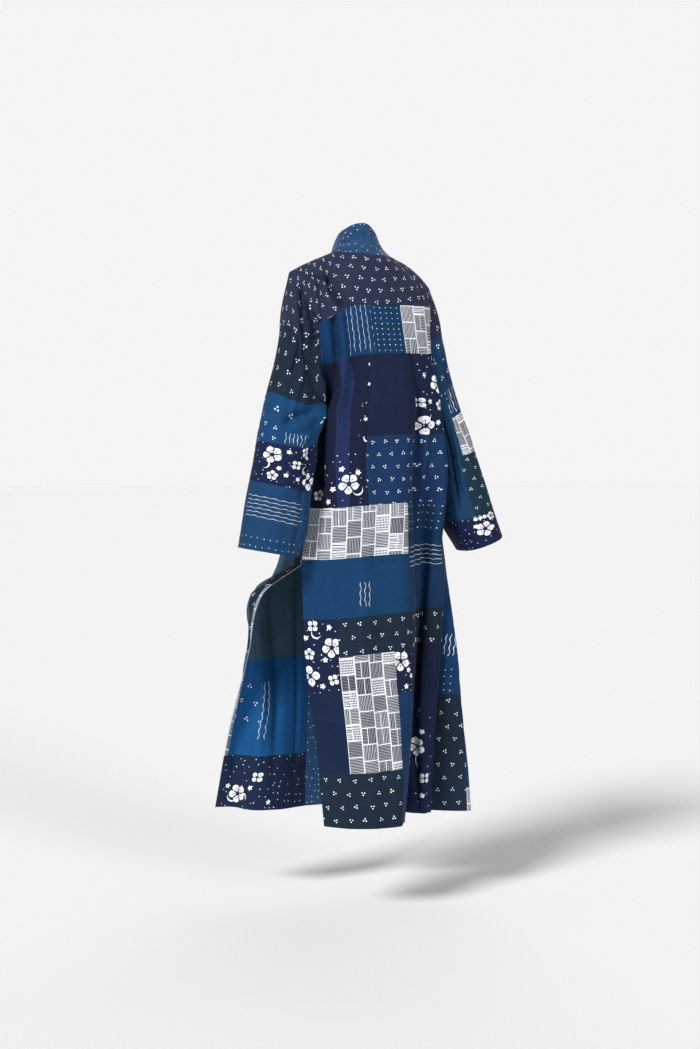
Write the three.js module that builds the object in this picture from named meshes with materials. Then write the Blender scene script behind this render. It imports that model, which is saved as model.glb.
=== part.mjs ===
// Long patchwork robe, worn and open at the front: a tall stand collar that runs on as two front
// bands, a shoulder yoke, a back panel with one deep fold, two fronts parted from it by side slits,
// and two wide sleeves. Millimetres, +Z up, the front towards -Y, the wearer's left towards +X.
// The origin is the middle of the neck opening, where the shoulders hold the robe.
import * as THREE from 'three';

const CLOTH = 2.0;          // wall of every cloth piece
const SEAM_GAP = 0.3;       // between two pieces that are sewn together
const HEM_Z = -1277;        // hem, below the nape
const SLIT_Z = -690;        // top of both side slits
const UNDERARM_Z = -345;    // bottom of the armholes
const FRONT_SEAM_Z = -90;   // front edge of the yoke
const COLLAR_LIFT = 1.6;    // from the neckline to the collar's lower edge
const SLEEVE_LIFT = 0.8;    // from the armhole to the sleeve's upper edge
const TINY = 1e-6;

// Net sizes of the cut pieces, across and along.
const PANEL_LENGTH = 1180;
const BACK_WIDTH = 420;
const FRONT_WIDTH = 240;
const BAND_WIDTH = 50;
const YOKE_SPAN = 560;
const YOKE_DEPTH = 110;
const COLLAR_LENGTH = 420;
const COLLAR_HEIGHT = 60;
const SLEEVE_LENGTH = 600;

// Steps of each piece's net: across the cloth and down it. The rows of the back and the fronts meet
// at the side seams: first the armhole's rows, then the closed seam's, then the open slit's.
const ARMHOLE_ROWS = 6;
const SEAM_ROWS = 7;
const SLIT_ROWS = 10;
const LONG_ROWS = ARMHOLE_ROWS + SEAM_ROWS + SLIT_ROWS;
const SHOULDER_COLUMNS = 10;
const BACK_COLUMNS = 34;
const FRONT_COLUMNS = 16;
const BAND_COLUMNS = 2;
const YOKE_ROWS = 5;
const COLLAR_COLUMNS = 30;
const COLLAR_ROWS = 3;
const SLEEVE_ROWS = 15;

// Back panel, one row for each level, from the wearer's left edge to the right edge: the edge, the
// shoulder blade, the middle, the brow of the deep fold, its valley, its ridge and the other edge.
const BACK_LEVELS = [
  { z: -113, left: [136, 84], blade: [86, 99], middle: [0, 107], brow: [-68, 101], valley: [-106, 92],
    ridge: [-130, 78], right: [-146, 58] },
  { z: -220, left: [128, 92], blade: [80, 111], middle: [0, 120], brow: [-66, 114], valley: [-106, 101],
    ridge: [-138, 82], right: [-146, 54] },
  { z: -285, left: [128, 72], blade: [80, 109], middle: [2, 121], brow: [-66, 115], valley: [-110, 97],
    ridge: [-150, 81], right: [-146, 40] },
  { z: -345, left: [128, 42], blade: [82, 106], middle: [4, 121], brow: [-66, 116], valley: [-112, 92],
    ridge: [-160, 79], right: [-149, 20] },
  { z: -460, left: [124, 30], blade: [84, 106], middle: [5, 121], brow: [-64, 118], valley: [-114, 80],
    ridge: [-168, 78], right: [-162, 30] },
  { z: -560, left: [142, 48], blade: [92, 109], middle: [8, 123], brow: [-63, 121], valley: [-122, 56],
    ridge: [-170, 76], right: [-174, 36] },
  { z: -690, left: [168, 75], blade: [105, 112], middle: [10, 126], brow: [-76, 116], valley: [-130, 38],
    ridge: [-172, 62], right: [-192, 38] },
  { z: -900, left: [160, 78], blade: [98, 124], middle: [14, 138], brow: [-76, 126], valley: [-128, 24],
    ridge: [-160, 52], right: [-184, 36] },
  { z: -1090, left: [137, 85], blade: [88, 132], middle: [16, 148], brow: [-64, 137], valley: [-118, 12],
    ridge: [-146, 40], right: [-171, 30] },
  { z: HEM_Z, left: [121, 93], blade: [76, 140], middle: [16, 156], brow: [-47, 146], valley: [-106, 5],
    ridge: [-132, 32], right: [-165, 22] },
];

// Fronts, one row for each level: the side edge, the side, the turn to the front, the edge that the
// band is sewn to, and the band's free edge. The left front is held out at its slit edge.
const LEFT_FRONT_LEVELS = [
  { z: FRONT_SEAM_Z, side: [148, -52], flank: [124, -66], turn: [98, -76], edge: [64, -84],
    free: [36, -96] },
  { z: -220, side: [138, -58], flank: [124, -78], turn: [104, -92], edge: [76, -103], free: [30, -116] },
  { z: -285, side: [134, -34], flank: [130, -60], turn: [110, -84], edge: [78, -105], free: [29, -118] },
  { z: -345, side: [128, 42], flank: [130, -20], turn: [114, -76], edge: [78, -106], free: [28, -119] },
  { z: -460, side: [124, 30], flank: [132, -18], turn: [120, -78], edge: [79, -108], free: [28, -120] },
  { z: -560, side: [142, 48], flank: [152, -8], turn: [136, -80], edge: [79, -112], free: [28, -123] },
  { z: SLIT_Z, side: [168, 75], flank: [180, 2], turn: [154, -86], edge: [80, -118], free: [28, -128] },
  { z: -760, side: [238, 8], flank: [249, -46], turn: [178, -104], edge: [80, -122], free: [28, -131] },
  { z: -900, side: [253, -52], flank: [237, -98], turn: [178, -122], edge: [82, -132], free: [29, -138] },
  { z: -1090, side: [275, -140], flank: [236, -152], turn: [182, -118], edge: [84, -142], free: [31, -146] },
  { z: HEM_Z, side: [290, -205], flank: [246, -192], turn: [190, -122], edge: [86, -150], free: [34, -154] },
];
const RIGHT_FRONT_LEVELS = [
  { z: FRONT_SEAM_Z, side: [-140, -50], flank: [-118, -64], turn: [-94, -75], edge: [-64, -84],
    free: [-36, -96] },
  { z: -220, side: [-140, -56], flank: [-124, -77], turn: [-104, -92], edge: [-76, -103],
    free: [-30, -116] },
  { z: -285, side: [-142, -38], flank: [-134, -62], turn: [-112, -86], edge: [-78, -105], free: [-29, -118] },
  { z: -345, side: [-149, 20], flank: [-146, -30], turn: [-118, -78], edge: [-78, -106], free: [-28, -119] },
  { z: -460, side: [-162, 30], flank: [-164, -20], turn: [-130, -80], edge: [-79, -108], free: [-28, -120] },
  { z: -560, side: [-174, 36], flank: [-182, -12], turn: [-144, -86], edge: [-79, -112], free: [-28, -123] },
  { z: SLIT_Z, side: [-192, 38], flank: [-206, -6], turn: [-164, -94], edge: [-80, -118], free: [-28, -128] },
  { z: -900, side: [-176, 6], flank: [-226, 34], turn: [-190, -92], edge: [-82, -132], free: [-29, -138] },
  { z: -1090, side: [-162, -4], flank: [-246, 42], turn: [-210, -96], edge: [-84, -142], free: [-31, -146] },
  { z: HEM_Z, side: [-156, -10], flank: [-264, 40], turn: [-230, -100], edge: [-86, -150], free: [-34, -154] },
];

// Neckline, collar top and armhole top, stations from the left front seam over the left shoulder,
// round the back and over the right shoulder to the right front seam.
const NECKLINE = [
  { at: 'left front seam', neck: [64, -84, -90], collarTop: [36, -96, -90] },
  { at: 'left front', neck: [68, -46, -28], collarTop: [52, -58, 0] },
  { at: 'left side', neck: [72, 0, 7], collarTop: [57, 0, 46] },
  { at: 'left back', neck: [60, 40, 6], collarTop: [48, 38, 62] },
  { at: 'left nape', neck: [30, 61, 4], collarTop: [28, 54, 71] },
  { at: 'nape', neck: [0, 66, 1], collarTop: [6, 58, 70] },
  { at: 'right nape', neck: [-30, 61, -1], collarTop: [-14, 49, 55] },
  { at: 'right back', neck: [-60, 40, -3], collarTop: [-30, 27, 42] },
  { at: 'right side', neck: [-72, 0, -2], collarTop: [-44, -8, 34] },
  { at: 'right front', neck: [-68, -46, -30], collarTop: [-48, -58, -4] },
  { at: 'right front seam', neck: [-64, -84, -90], collarTop: [-36, -96, -90] },
];
// Top of each armhole between the two yoke seams.
const ARMHOLE_TOPS = {
  left: { first: [160, -38, -62], shoulder: [170, 4, -37], last: [158, 52, -72] },
  right: { first: [-154, 40, -84], shoulder: [-159, 4, -62], last: [-152, -36, -82] },
};
const YOKE_SEAM_DROP = 37;         // the yoke's back seam falls this much towards the left armhole
const YOKE_DROP_REACH = 0.3;       // over this share of the back's width
const YOKE_CROWN = 9;              // how far the yoke stands out between its edges
const COLLAR_CROWN = 4;
const END_REACH = 0.12;            // share of a neck strip's length that blends into its end

// Sleeves, one row for each ring below the armhole: the outer and the inner point of the ring as
// [distance from the robe's middle, height], and the ring's middle and half depth front to back.
const SLEEVE_RINGS = {
  left: [
    { outer: [189, -100], inner: [138, -353], midY: 26, halfY: 66 },
    { outer: [199, -170], inner: [139, -362], midY: 38, halfY: 66 },
    { outer: [219, -245], inner: [140, -375], midY: 54, halfY: 65 },
    { outer: [245, -325], inner: [131, -398], midY: 66, halfY: 64 },
    { outer: [267, -415], inner: [133, -448], midY: 76, halfY: 62 },
    { outer: [287, -505], inner: [149, -536], midY: 80, halfY: 61 },
    { outer: [301, -580], inner: [162, -612], midY: 80, halfY: 60 },
    { outer: [312, -649], inner: [178, -673], midY: 78, halfY: 60 },
  ],
  right: [
    { outer: [178, -112], inner: [158, -354], midY: -6, halfY: 62 },
    { outer: [190, -170], inner: [160, -363], midY: -8, halfY: 62 },
    { outer: [204, -235], inner: [163, -376], midY: -8, halfY: 63 },
    { outer: [229, -325], inner: [167, -398], midY: -8, halfY: 66 },
    { outer: [266, -415], inner: [176, -448], midY: -8, halfY: 68 },
    { outer: [298, -505], inner: [188, -530], midY: -4, halfY: 70 },
    { outer: [320, -580], inner: [208, -612], midY: 2, halfY: 74 },
    { outer: [336, -634], inner: [244, -671], midY: 8, halfY: 76 },
  ],
};
const SLEEVE_SQUARENESS = 2.3;     // 2 is an ellipse, more is squarer

// Large soft folds: ribs that run down a piece, as shares of its width and length.
const BACK_FOLDS = [
  { at: 0.14, lean: 0.05, half: 0.055, depth: 7, from: 0.02, to: 0.55 },
  { at: 0.3, lean: -0.02, half: 0.06, depth: 4, from: 0.35, to: 1 },
  { at: 0.5, lean: 0.02, half: 0.05, depth: -4, from: 0.5, to: 1 },
];
const FRONT_FOLDS = [
  { at: 0.34, lean: 0.02, half: 0.1, depth: 9, from: 0.25, to: 1 },
  { at: 0.62, lean: -0.03, half: 0.09, depth: -7, from: 0.15, to: 1 },
];
const SLEEVE_FOLDS = [
  { at: 0.16, lean: 0.1, half: 0.045, depth: 7, from: 0.05, to: 0.6 },
  { at: 0.3, lean: 0.06, half: 0.045, depth: -6, from: 0.05, to: 0.5 },
  { at: 0.36, lean: 0, half: 0.08, depth: 14, from: 0.14, to: 0.85 },
  { at: 0.66, lean: -0.08, half: 0.05, depth: 6, from: 0.1, to: 0.6 },
  { at: 0.85, lean: -0.05, half: 0.05, depth: -5, from: 0.15, to: 0.75 },
];

// Folds fade out over these shares: at their own ends, at a piece's side edges and at its top edge.
const FOLD_END_FADE = 1 / 3;
const FOLD_START_FADE = 1 / 2;
const SIDE_FADE = 1 / 8;
const TOP_FADE = 1 / 4;

const COLOURS = {
  purpleNavy: 0x34325a, indigo: 0x1b3768, teal: 0x1e3042, blue: 0x1a4a80, collarBlue: 0x2a5c96,
};

// ---------- small maths ----------
const mix = (a, b, t) => a + (b - a) * t;
const mixPoints = (p, q, t) => p.map((value, i) => mix(value, q[i], t));
const distance = (p, q) => Math.hypot(...p.map((value, i) => value - q[i]));
const smooth = (t) => { const c = Math.min(1, Math.max(0, t)); return c * c * (3 - 2 * c); };

// A smooth curve through points at rising knots.
function hermite(knots, points, t) {
  const last = knots.length - 1;
  let i = 0;
  while (i < last - 1 && t > knots[i + 1]) i += 1;
  const slope = (k, axis) => {
    const lo = Math.max(0, k - 1);
    const hi = Math.min(last, k + 1);
    return (points[hi][axis] - points[lo][axis]) / (knots[hi] - knots[lo]);
  };
  const span = knots[i + 1] - knots[i];
  const s = Math.min(1, Math.max(0, (t - knots[i]) / span));
  const s2 = s * s;
  const s3 = s2 * s;
  return points[i].map((value, axis) => (2 * s3 - 3 * s2 + 1) * value
    + (s3 - 2 * s2 + s) * span * slope(i, axis)
    + (3 * s2 - 2 * s3) * points[i + 1][axis]
    + (s3 - s2) * span * slope(i + 1, axis));
}

// Running lengths along a row of points, from 0 to 1.
function shares(points) {
  const run = [0];
  for (let i = 1; i < points.length; i += 1) {
    run.push(run[i - 1] + distance(points[i - 1], points[i]) + TINY);
  }
  return run.map((length) => length / run[run.length - 1]);
}

// The point at a share of the length of a smooth curve through the stations.
const CURVE_STEPS = 72;
function evenCurve(stations) {
  const knots = shares(stations);
  const dense = Array.from({ length: CURVE_STEPS + 1 }, (_, i) => (
    hermite(knots, stations, i / CURVE_STEPS)));
  const run = shares(dense);
  return (share) => {
    let i = 0;
    while (i < CURVE_STEPS - 1 && share > run[i + 1]) i += 1;
    return mixPoints(dense[i], dense[i + 1], (share - run[i]) / (run[i + 1] - run[i]));
  };
}

// How far in the soft folds lie at a place on a piece, fading at both ends of each fold.
function foldDepth(folds, across, down) {
  return folds.reduce((sum, fold) => {
    const off = (across - fold.at - fold.lean * (down - fold.from)) / fold.half;
    const run = (down - fold.from) / (fold.to - fold.from);
    const fade = fold.to >= 1 ? smooth(run / FOLD_START_FADE)
      : smooth(run / FOLD_END_FADE) * smooth((1 - run) / FOLD_END_FADE);
    return sum + fold.depth * fade * Math.exp(-off * off);
  }, 0);
}

// ---------- cloth surfaces: each gives a point for two shares, across and down ----------
// A level table read at any height. Its edge columns bend sharply at the underarm and at the slit.
const EDGE_NAMES = ['left', 'right', 'side'];
function zoneOf(levels, name, z) {
  if (!EDGE_NAMES.includes(name)) return levels;
  if (z > UNDERARM_Z) return levels.filter((row) => row.z >= UNDERARM_Z);
  if (z > SLIT_Z) return levels.filter((row) => row.z <= UNDERARM_Z && row.z >= SLIT_Z);
  return levels.filter((row) => row.z <= SLIT_Z);
}
function levelReader(levels, names) {
  return (z, share) => {
    const stations = names.map((name) => {
      const rows = zoneOf(levels, name, z);
      return hermite(rows.map((row) => -row.z), rows.map((row) => row[name]), -z);
    });
    return evenCurve(stations)(share);
  };
}
// The height of a row that starts at a piece's top edge.
function rowZ(top, down) {
  const armhole = ARMHOLE_ROWS / LONG_ROWS;
  const seam = (ARMHOLE_ROWS + SEAM_ROWS) / LONG_ROWS;
  if (down <= armhole) return mix(top, UNDERARM_Z, down / armhole);
  if (down <= seam) return mix(UNDERARM_Z, SLIT_Z, (down - armhole) / (seam - armhole));
  return mix(SLIT_Z, HEM_Z, (down - seam) / (1 - seam));
}
const readBack = levelReader(BACK_LEVELS, ['left', 'blade', 'middle', 'brow', 'valley', 'ridge', 'right']);
function backPoint(across, down) {
  const seamZ = BACK_LEVELS[0].z - YOKE_SEAM_DROP * (1 - smooth(across / YOKE_DROP_REACH));
  const z = rowZ(seamZ, down);
  return [...readBack(z, across), z];
}
function frontSurface(levels, names) {
  const read = levelReader(levels, names);
  return (across, down) => {
    const z = rowZ(FRONT_SEAM_Z, down);
    return [...read(z, across), z];
  };
}
const FRONT_NAMES = ['side', 'flank', 'turn', 'edge'];
const BAND_NAMES = ['edge', 'free'];
const leftFront = frontSurface(LEFT_FRONT_LEVELS, FRONT_NAMES);
const rightFront = frontSurface(RIGHT_FRONT_LEVELS, FRONT_NAMES);
const leftBand = frontSurface(LEFT_FRONT_LEVELS, BAND_NAMES);
const rightBand = frontSurface(RIGHT_FRONT_LEVELS, BAND_NAMES);

const stationShares = NECKLINE.map((_, i) => i / (NECKLINE.length - 1));
const neckCurve = (share) => hermite(stationShares, NECKLINE.map((row) => row.neck), share);
const collarTopCurve = (share) => hermite(stationShares, NECKLINE.map((row) => row.collarTop), share);

// The yoke's outer edge: the left armhole's top, the back seam and the right armhole's top.
const YOKE_COLUMNS = 2 * SHOULDER_COLUMNS + BACK_COLUMNS;
const SHOULDER_SHARE = SHOULDER_COLUMNS / YOKE_COLUMNS;
const armholeTop = (start, top, end) => evenCurve([start, top.first, top.shoulder, top.last, end]);
const leftArmTop = armholeTop(leftFront(0, 0), ARMHOLE_TOPS.left, backPoint(0, 0));
const rightArmTop = armholeTop(backPoint(1, 0), ARMHOLE_TOPS.right, rightFront(0, 0));
function yokeOuter(around) {
  if (around <= SHOULDER_SHARE) return leftArmTop(around / SHOULDER_SHARE);
  if (around >= 1 - SHOULDER_SHARE) return rightArmTop((around - 1 + SHOULDER_SHARE) / SHOULDER_SHARE);
  return backPoint((around - SHOULDER_SHARE) / (1 - 2 * SHOULDER_SHARE), 0);
}
// The direction that a net's cloth faces, from its ways across and down.
function facingWay(acrossWay, downWay) {
  return new THREE.Vector3(...acrossWay).cross(new THREE.Vector3(...downWay)).normalize();
}
const minus = (p, q) => p.map((value, i) => value - q[i]);
const plus = (p, q, scale) => p.map((value, i) => value + q[i] * scale);
// A strip between two edge curves that stands out in its middle.
const SLOPE_REACH = 1e-3;
function crowned(inner, outer, crown) {
  const flat = (around, out) => mixPoints(inner(around), outer(around), out);
  return (around, out) => {
    const along = minus(
      flat(Math.min(1, around + SLOPE_REACH), out),
      flat(Math.max(0, around - SLOPE_REACH), out),
    );
    const normal = facingWay(minus(flat(around, 1), flat(around, 0)), along).toArray();
    return plus(flat(around, out), normal, crown(around) * 4 * out * (1 - out));
  };
}
// How near a place is to the left end, or to the right end, of a strip that goes round the neck.
const nearEnd = (around) => 1 - smooth(around / END_REACH);
const endless = (around) => (1 - nearEnd(around)) * (1 - nearEnd(1 - around));
// The neckline's share that lies beside a share of the yoke's outer edge: shoulder to neck side.
const SIDE_OF_NECK = 0.2;
const BACK_OF_NECK = 0.3;
const beside = [
  [0, 0], [SHOULDER_SHARE / 2, SIDE_OF_NECK], [SHOULDER_SHARE, BACK_OF_NECK], [0.5, 0.5],
  [1 - SHOULDER_SHARE, 1 - BACK_OF_NECK], [1 - SHOULDER_SHARE / 2, 1 - SIDE_OF_NECK], [1, 1]];
const neckBeside = (around) => (
  neckCurve(hermite(beside.map((pair) => pair[0]), beside.map((pair) => [pair[1]]), around)[0]));
const openYoke = crowned(neckBeside, yokeOuter, (around) => YOKE_CROWN * endless(around));
// The yoke's two ends lie along the top edges of the fronts.
function yokePoint(around, out) {
  const toLeft = minus(leftFront(1 - out, 0), openYoke(0, out));
  const toRight = minus(rightFront(1 - out, 0), openYoke(1, out));
  return plus(plus(openYoke(around, out), toLeft, nearEnd(around)), toRight, nearEnd(1 - around));
}
function collarFoot(around) {
  const neck = neckCurve(around);
  const top = collarTopCurve(around);
  return mixPoints(neck, top, COLLAR_LIFT / distance(neck, top));
}
const collarPoint = crowned(collarFoot, collarTopCurve, (around) => COLLAR_CROWN * endless(around));

// ---------- solids ----------
// The direction towards the wearer at every point of a net.
function netNormals(net, wraps, facing) {
  const width = net[0].length;
  return net.map((row, j) => row.map((_, i) => {
    const before = wraps ? (i + width - 1) % width : Math.max(0, i - 1);
    const after = wraps ? (i + 1) % width : Math.min(width - 1, i + 1);
    const below = net[Math.min(net.length - 1, j + 1)][i];
    const above = net[Math.max(0, j - 1)][i];
    return facingWay(minus(row[after], row[before]), minus(below, above)).multiplyScalar(facing);
  }));
}
// A net with its soft folds, which fade out at its sides where it doesn't wrap round.
function foldedNet(plain, folds, wraps, facing, shareAt) {
  const normals = netNormals(plain, wraps, facing);
  return plain.map((row, j) => row.map((point, i) => {
    const across = shareAt(i);
    const side = wraps ? 1 : smooth(across / SIDE_FADE) * smooth((1 - across) / SIDE_FADE);
    const down = j / (plain.length - 1);
    const depth = side * smooth(down / TOP_FADE) * foldDepth(folds, across, down);
    return plus(point, normals[j][i].toArray(), depth);
  }));
}
// A panel with its edges cut back by half a seam gap.
function panel(surface, columns, rows, folds, facing, width, length) {
  const marginAcross = SEAM_GAP / 2 / width;
  const marginDown = SEAM_GAP / 2 / length;
  const spot = (i, j) => surface(
    mix(marginAcross, 1 - marginAcross, i / columns),
    mix(marginDown, 1 - marginDown, j / rows),
  );
  const plain = Array.from({ length: rows + 1 }, (_, j) => (
    Array.from({ length: columns + 1 }, (__, i) => spot(i, j))));
  const net = foldedNet(plain, folds, false, facing, (i) => i / columns);
  return { net, normals: netNormals(net, false, facing), facing };
}
const edgeSpots = ({ net }) => {
  const spots = [];
  net.forEach((row, j) => row.forEach((_, i) => {
    if (j === 0 || i === 0 || j === net.length - 1 || i === row.length - 1) spots.push([j, i]);
  }));
  return spots;
};
// Two pieces share their inward direction where their edges meet, so that their walls never cross.
const MEETING_GAPS = 4;
function shareSeamNormals(pieces) {
  const reach = MEETING_GAPS * SEAM_GAP;
  const shared = pieces.map((piece) => edgeSpots(piece).map(([j, i]) => {
    const sum = piece.normals[j][i].clone();
    for (const other of pieces.filter((candidate) => candidate !== piece)) {
      const near = edgeSpots(other)
        .map(([row, column]) => [distance(other.net[row][column], piece.net[j][i]), row, column])
        .reduce((best, spot) => (spot[0] < best[0] ? spot : best));
      if (near[0] < reach) sum.add(other.normals[near[1]][near[2]]);
    }
    return [j, i, sum.normalize()];
  }));
  pieces.forEach((piece, k) => shared[k].forEach(([j, i, normal]) => { piece.normals[j][i] = normal; }));
}
// A closed wall of cloth on a net, half its thickness to each side.
function wallGeometry(net, normals, wraps, facing) {
  const width = net[0].length;
  const height = net.length;
  const positions = [1, -1].flatMap((side) => net.flatMap((row, j) => row.flatMap((point, i) => (
    plus(point, normals[j][i].toArray(), side * CLOTH / 2)))));
  const outer = (i, j) => j * width + (i % width);
  const inner = (i, j) => width * height + outer(i, j);
  const faces = [];
  const quad = (a, b, c, d) => faces.push(...(facing > 0 ? [a, b, c, a, c, d] : [a, c, b, a, d, c]));
  const spans = wraps ? width : width - 1;
  for (let j = 0; j < height - 1; j += 1) {
    for (let i = 0; i < spans; i += 1) {
      quad(outer(i, j), outer(i + 1, j), outer(i + 1, j + 1), outer(i, j + 1));
      quad(inner(i, j), inner(i, j + 1), inner(i + 1, j + 1), inner(i + 1, j));
    }
    if (!wraps) {
      quad(outer(0, j), outer(0, j + 1), inner(0, j + 1), inner(0, j));
      quad(outer(width - 1, j), inner(width - 1, j), inner(width - 1, j + 1), outer(width - 1, j + 1));
    }
  }
  for (let i = 0; i < spans; i += 1) {
    const end = height - 1;
    quad(outer(i, 0), inner(i, 0), inner(i + 1, 0), outer(i + 1, 0));
    quad(outer(i, end), outer(i + 1, end), inner(i + 1, end), inner(i, end));
  }
  const geometry = new THREE.BufferGeometry();
  geometry.setAttribute('position', new THREE.Float32BufferAttribute(positions, 3));
  geometry.setIndex(faces);
  geometry.computeVertexNormals();
  return geometry;
}

const longPanel = (surface, columns, folds, facing, width) => (
  panel(surface, columns, LONG_ROWS, folds, facing, width, PANEL_LENGTH));
const back = longPanel(backPoint, BACK_COLUMNS, BACK_FOLDS, 1, BACK_WIDTH);
const frontLeft = longPanel(leftFront, FRONT_COLUMNS, FRONT_FOLDS, -1, FRONT_WIDTH);
const frontRight = longPanel(rightFront, FRONT_COLUMNS, FRONT_FOLDS, 1, FRONT_WIDTH);
const bandLeft = longPanel(leftBand, BAND_COLUMNS, [], -1, BAND_WIDTH);
const bandRight = longPanel(rightBand, BAND_COLUMNS, [], 1, BAND_WIDTH);
const yoke = panel(yokePoint, YOKE_COLUMNS, YOKE_ROWS, [], 1, YOKE_SPAN, YOKE_DEPTH);
const collar = panel(collarPoint, COLLAR_COLUMNS, COLLAR_ROWS, [], -1, COLLAR_LENGTH, COLLAR_HEIGHT);
shareSeamNormals([back, frontLeft, frontRight, bandLeft, bandRight, yoke]);

// An armhole's edge as a closed row of spots, each a point and the cloth's inward direction there,
// from the shoulder down the back to the underarm and up the front.
function armholeLoop(side) {
  const left = side === 'left';
  const spot = (piece, j, i) => [...piece.net[j][i], ...piece.normals[j][i].toArray()];
  const front = left ? frontLeft : frontRight;
  const backColumn = left ? 0 : BACK_COLUMNS;
  const top = Array.from({ length: SHOULDER_COLUMNS - 1 }, (_, k) => (
    spot(yoke, YOKE_ROWS, left ? k + 1 : YOKE_COLUMNS - 1 - k)));
  const highest = top.reduce((best, row, i) => (row[2] > top[best][2] ? i : best), 0);
  const rows = Array.from({ length: ARMHOLE_ROWS }, (_, j) => j);
  const backEdge = rows.map((j) => spot(back, j, backColumn));
  const frontEdge = rows.map((j) => spot(front, j, 0)).reverse();
  const underarm = mixPoints(spot(back, ARMHOLE_ROWS, backColumn), spot(front, ARMHOLE_ROWS, 0), 0.5);
  return [...top.slice(highest), ...backEdge, underarm, ...frontEdge, ...top.slice(0, highest)];
}
// A point of a sleeve's ring: share 0 is the outer point, then the back, the inner point, the front.
const power = (value) => Math.sign(value) * Math.abs(value) ** (2 / SLEEVE_SQUARENESS);
function ringPoint(ring, sign, share) {
  const out = power(Math.cos(share * 2 * Math.PI));
  const backward = power(Math.sin(share * 2 * Math.PI));
  const middle = mixPoints(ring.outer, ring.inner, 0.5);
  return [
    sign * (middle[0] + out * (ring.outer[0] - middle[0])),
    ring.midY + backward * ring.halfY,
    middle[1] + out * (ring.outer[1] - middle[1]),
  ];
}
function sleeve(side) {
  const sign = side === 'left' ? 1 : -1;
  const rings = SLEEVE_RINGS[side];
  const loop = armholeLoop(side);
  const run = shares([...loop, loop[0]].map((row) => row.slice(0, 3)));
  const lowest = loop.reduce((best, row, i) => (row[2] < loop[best][2] ? i : best), 0);
  const ringShare = (i) => (i <= lowest ? 0.5 * run[i] / run[lowest]
    : mix(0.5, 1, (run[i] - run[lowest]) / (1 - run[lowest])));
  const middles = [mixPoints(loop[0], loop[lowest], 0.5).slice(0, 3),
    ...rings.map((ring) => mixPoints(ringPoint(ring, sign, 0), ringPoint(ring, sign, 0.5), 0.5))];
  const knots = shares(middles);
  const start = SLEEVE_LIFT / SLEEVE_LENGTH;
  const plain = Array.from({ length: SLEEVE_ROWS + 1 }, (_, j) => loop.map((spot, i) => hermite(
    knots,
    [spot.slice(0, 3), ...rings.map((ring) => ringPoint(ring, sign, ringShare(i)))],
    mix(start, 1, j / SLEEVE_ROWS),
  )));
  const net = foldedNet(plain, SLEEVE_FOLDS, true, sign, ringShare);
  const normals = netNormals(net, true, sign);
  normals[0] = loop.map((spot) => new THREE.Vector3(...spot.slice(3)).normalize());
  return { net, normals, facing: sign, wraps: true };
}

// ---------- the robe ----------
const CLOTH_ROUGHNESS = 0.85;
const cloth = (color) => new THREE.MeshStandardMaterial({ color, roughness: CLOTH_ROUGHNESS });
const PIECES = {
  yoke: { piece: yoke, colour: COLOURS.purpleNavy },
  collar: { piece: collar, colour: COLOURS.collarBlue },
  back: { piece: back, colour: COLOURS.indigo },
  front_left: { piece: frontLeft, colour: COLOURS.teal },
  front_right: { piece: frontRight, colour: COLOURS.blue },
  front_band_left: { piece: bandLeft, colour: COLOURS.collarBlue },
  front_band_right: { piece: bandRight, colour: COLOURS.collarBlue },
  sleeve_left: { piece: sleeve('left'), colour: COLOURS.teal },
  sleeve_right: { piece: sleeve('right'), colour: COLOURS.blue },
};
const robe = new THREE.Group();
for (const [name, { piece, colour }] of Object.entries(PIECES)) {
  const geometry = wallGeometry(piece.net, piece.normals, piece.wraps, piece.facing);
  const mesh = new THREE.Mesh(geometry, cloth(colour));
  mesh.name = name;
  robe.add(mesh);
}
export default robe;
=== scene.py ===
"""Long patchwork robe, worn and open at the front. Every piece of cloth is cut flat, marked out in
its dyed patches, laid on its body form, creased, and given a thin wall. Metres, +Z up, the front
towards -Y and the wearer's left towards +X; the tables below are in millimetres."""
import bisect
import math

import bmesh
import bpy
from mathutils import Matrix, Vector, noise


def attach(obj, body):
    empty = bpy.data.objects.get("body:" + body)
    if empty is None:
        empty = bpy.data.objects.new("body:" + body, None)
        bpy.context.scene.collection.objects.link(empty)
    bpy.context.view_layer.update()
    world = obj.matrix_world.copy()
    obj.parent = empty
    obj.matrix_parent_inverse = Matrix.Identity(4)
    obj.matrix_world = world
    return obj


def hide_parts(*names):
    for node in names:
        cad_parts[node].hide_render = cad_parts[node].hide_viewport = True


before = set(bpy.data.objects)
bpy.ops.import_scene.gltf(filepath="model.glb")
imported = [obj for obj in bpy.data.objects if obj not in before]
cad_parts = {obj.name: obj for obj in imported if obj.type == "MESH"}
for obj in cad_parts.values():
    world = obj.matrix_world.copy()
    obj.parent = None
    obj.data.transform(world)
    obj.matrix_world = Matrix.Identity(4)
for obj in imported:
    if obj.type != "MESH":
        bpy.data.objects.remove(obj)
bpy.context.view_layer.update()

# ---------- sizes, in millimetres ----------
MM = 0.001
HEM_Z = -1277
SLIT_Z = -690
UNDERARM_Z = -345
FRONT_SEAM_Z = -90
ARMHOLE_SHARE = 6 / 23         # of a long panel's height, from the yoke seam to the underarm
SEAM_SHARE = 13 / 23           # and to the top of the slit
SHOULDER_SHARE = 10 / 54       # of the yoke's outer edge, along one armhole
TINY = 1e-6

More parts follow.
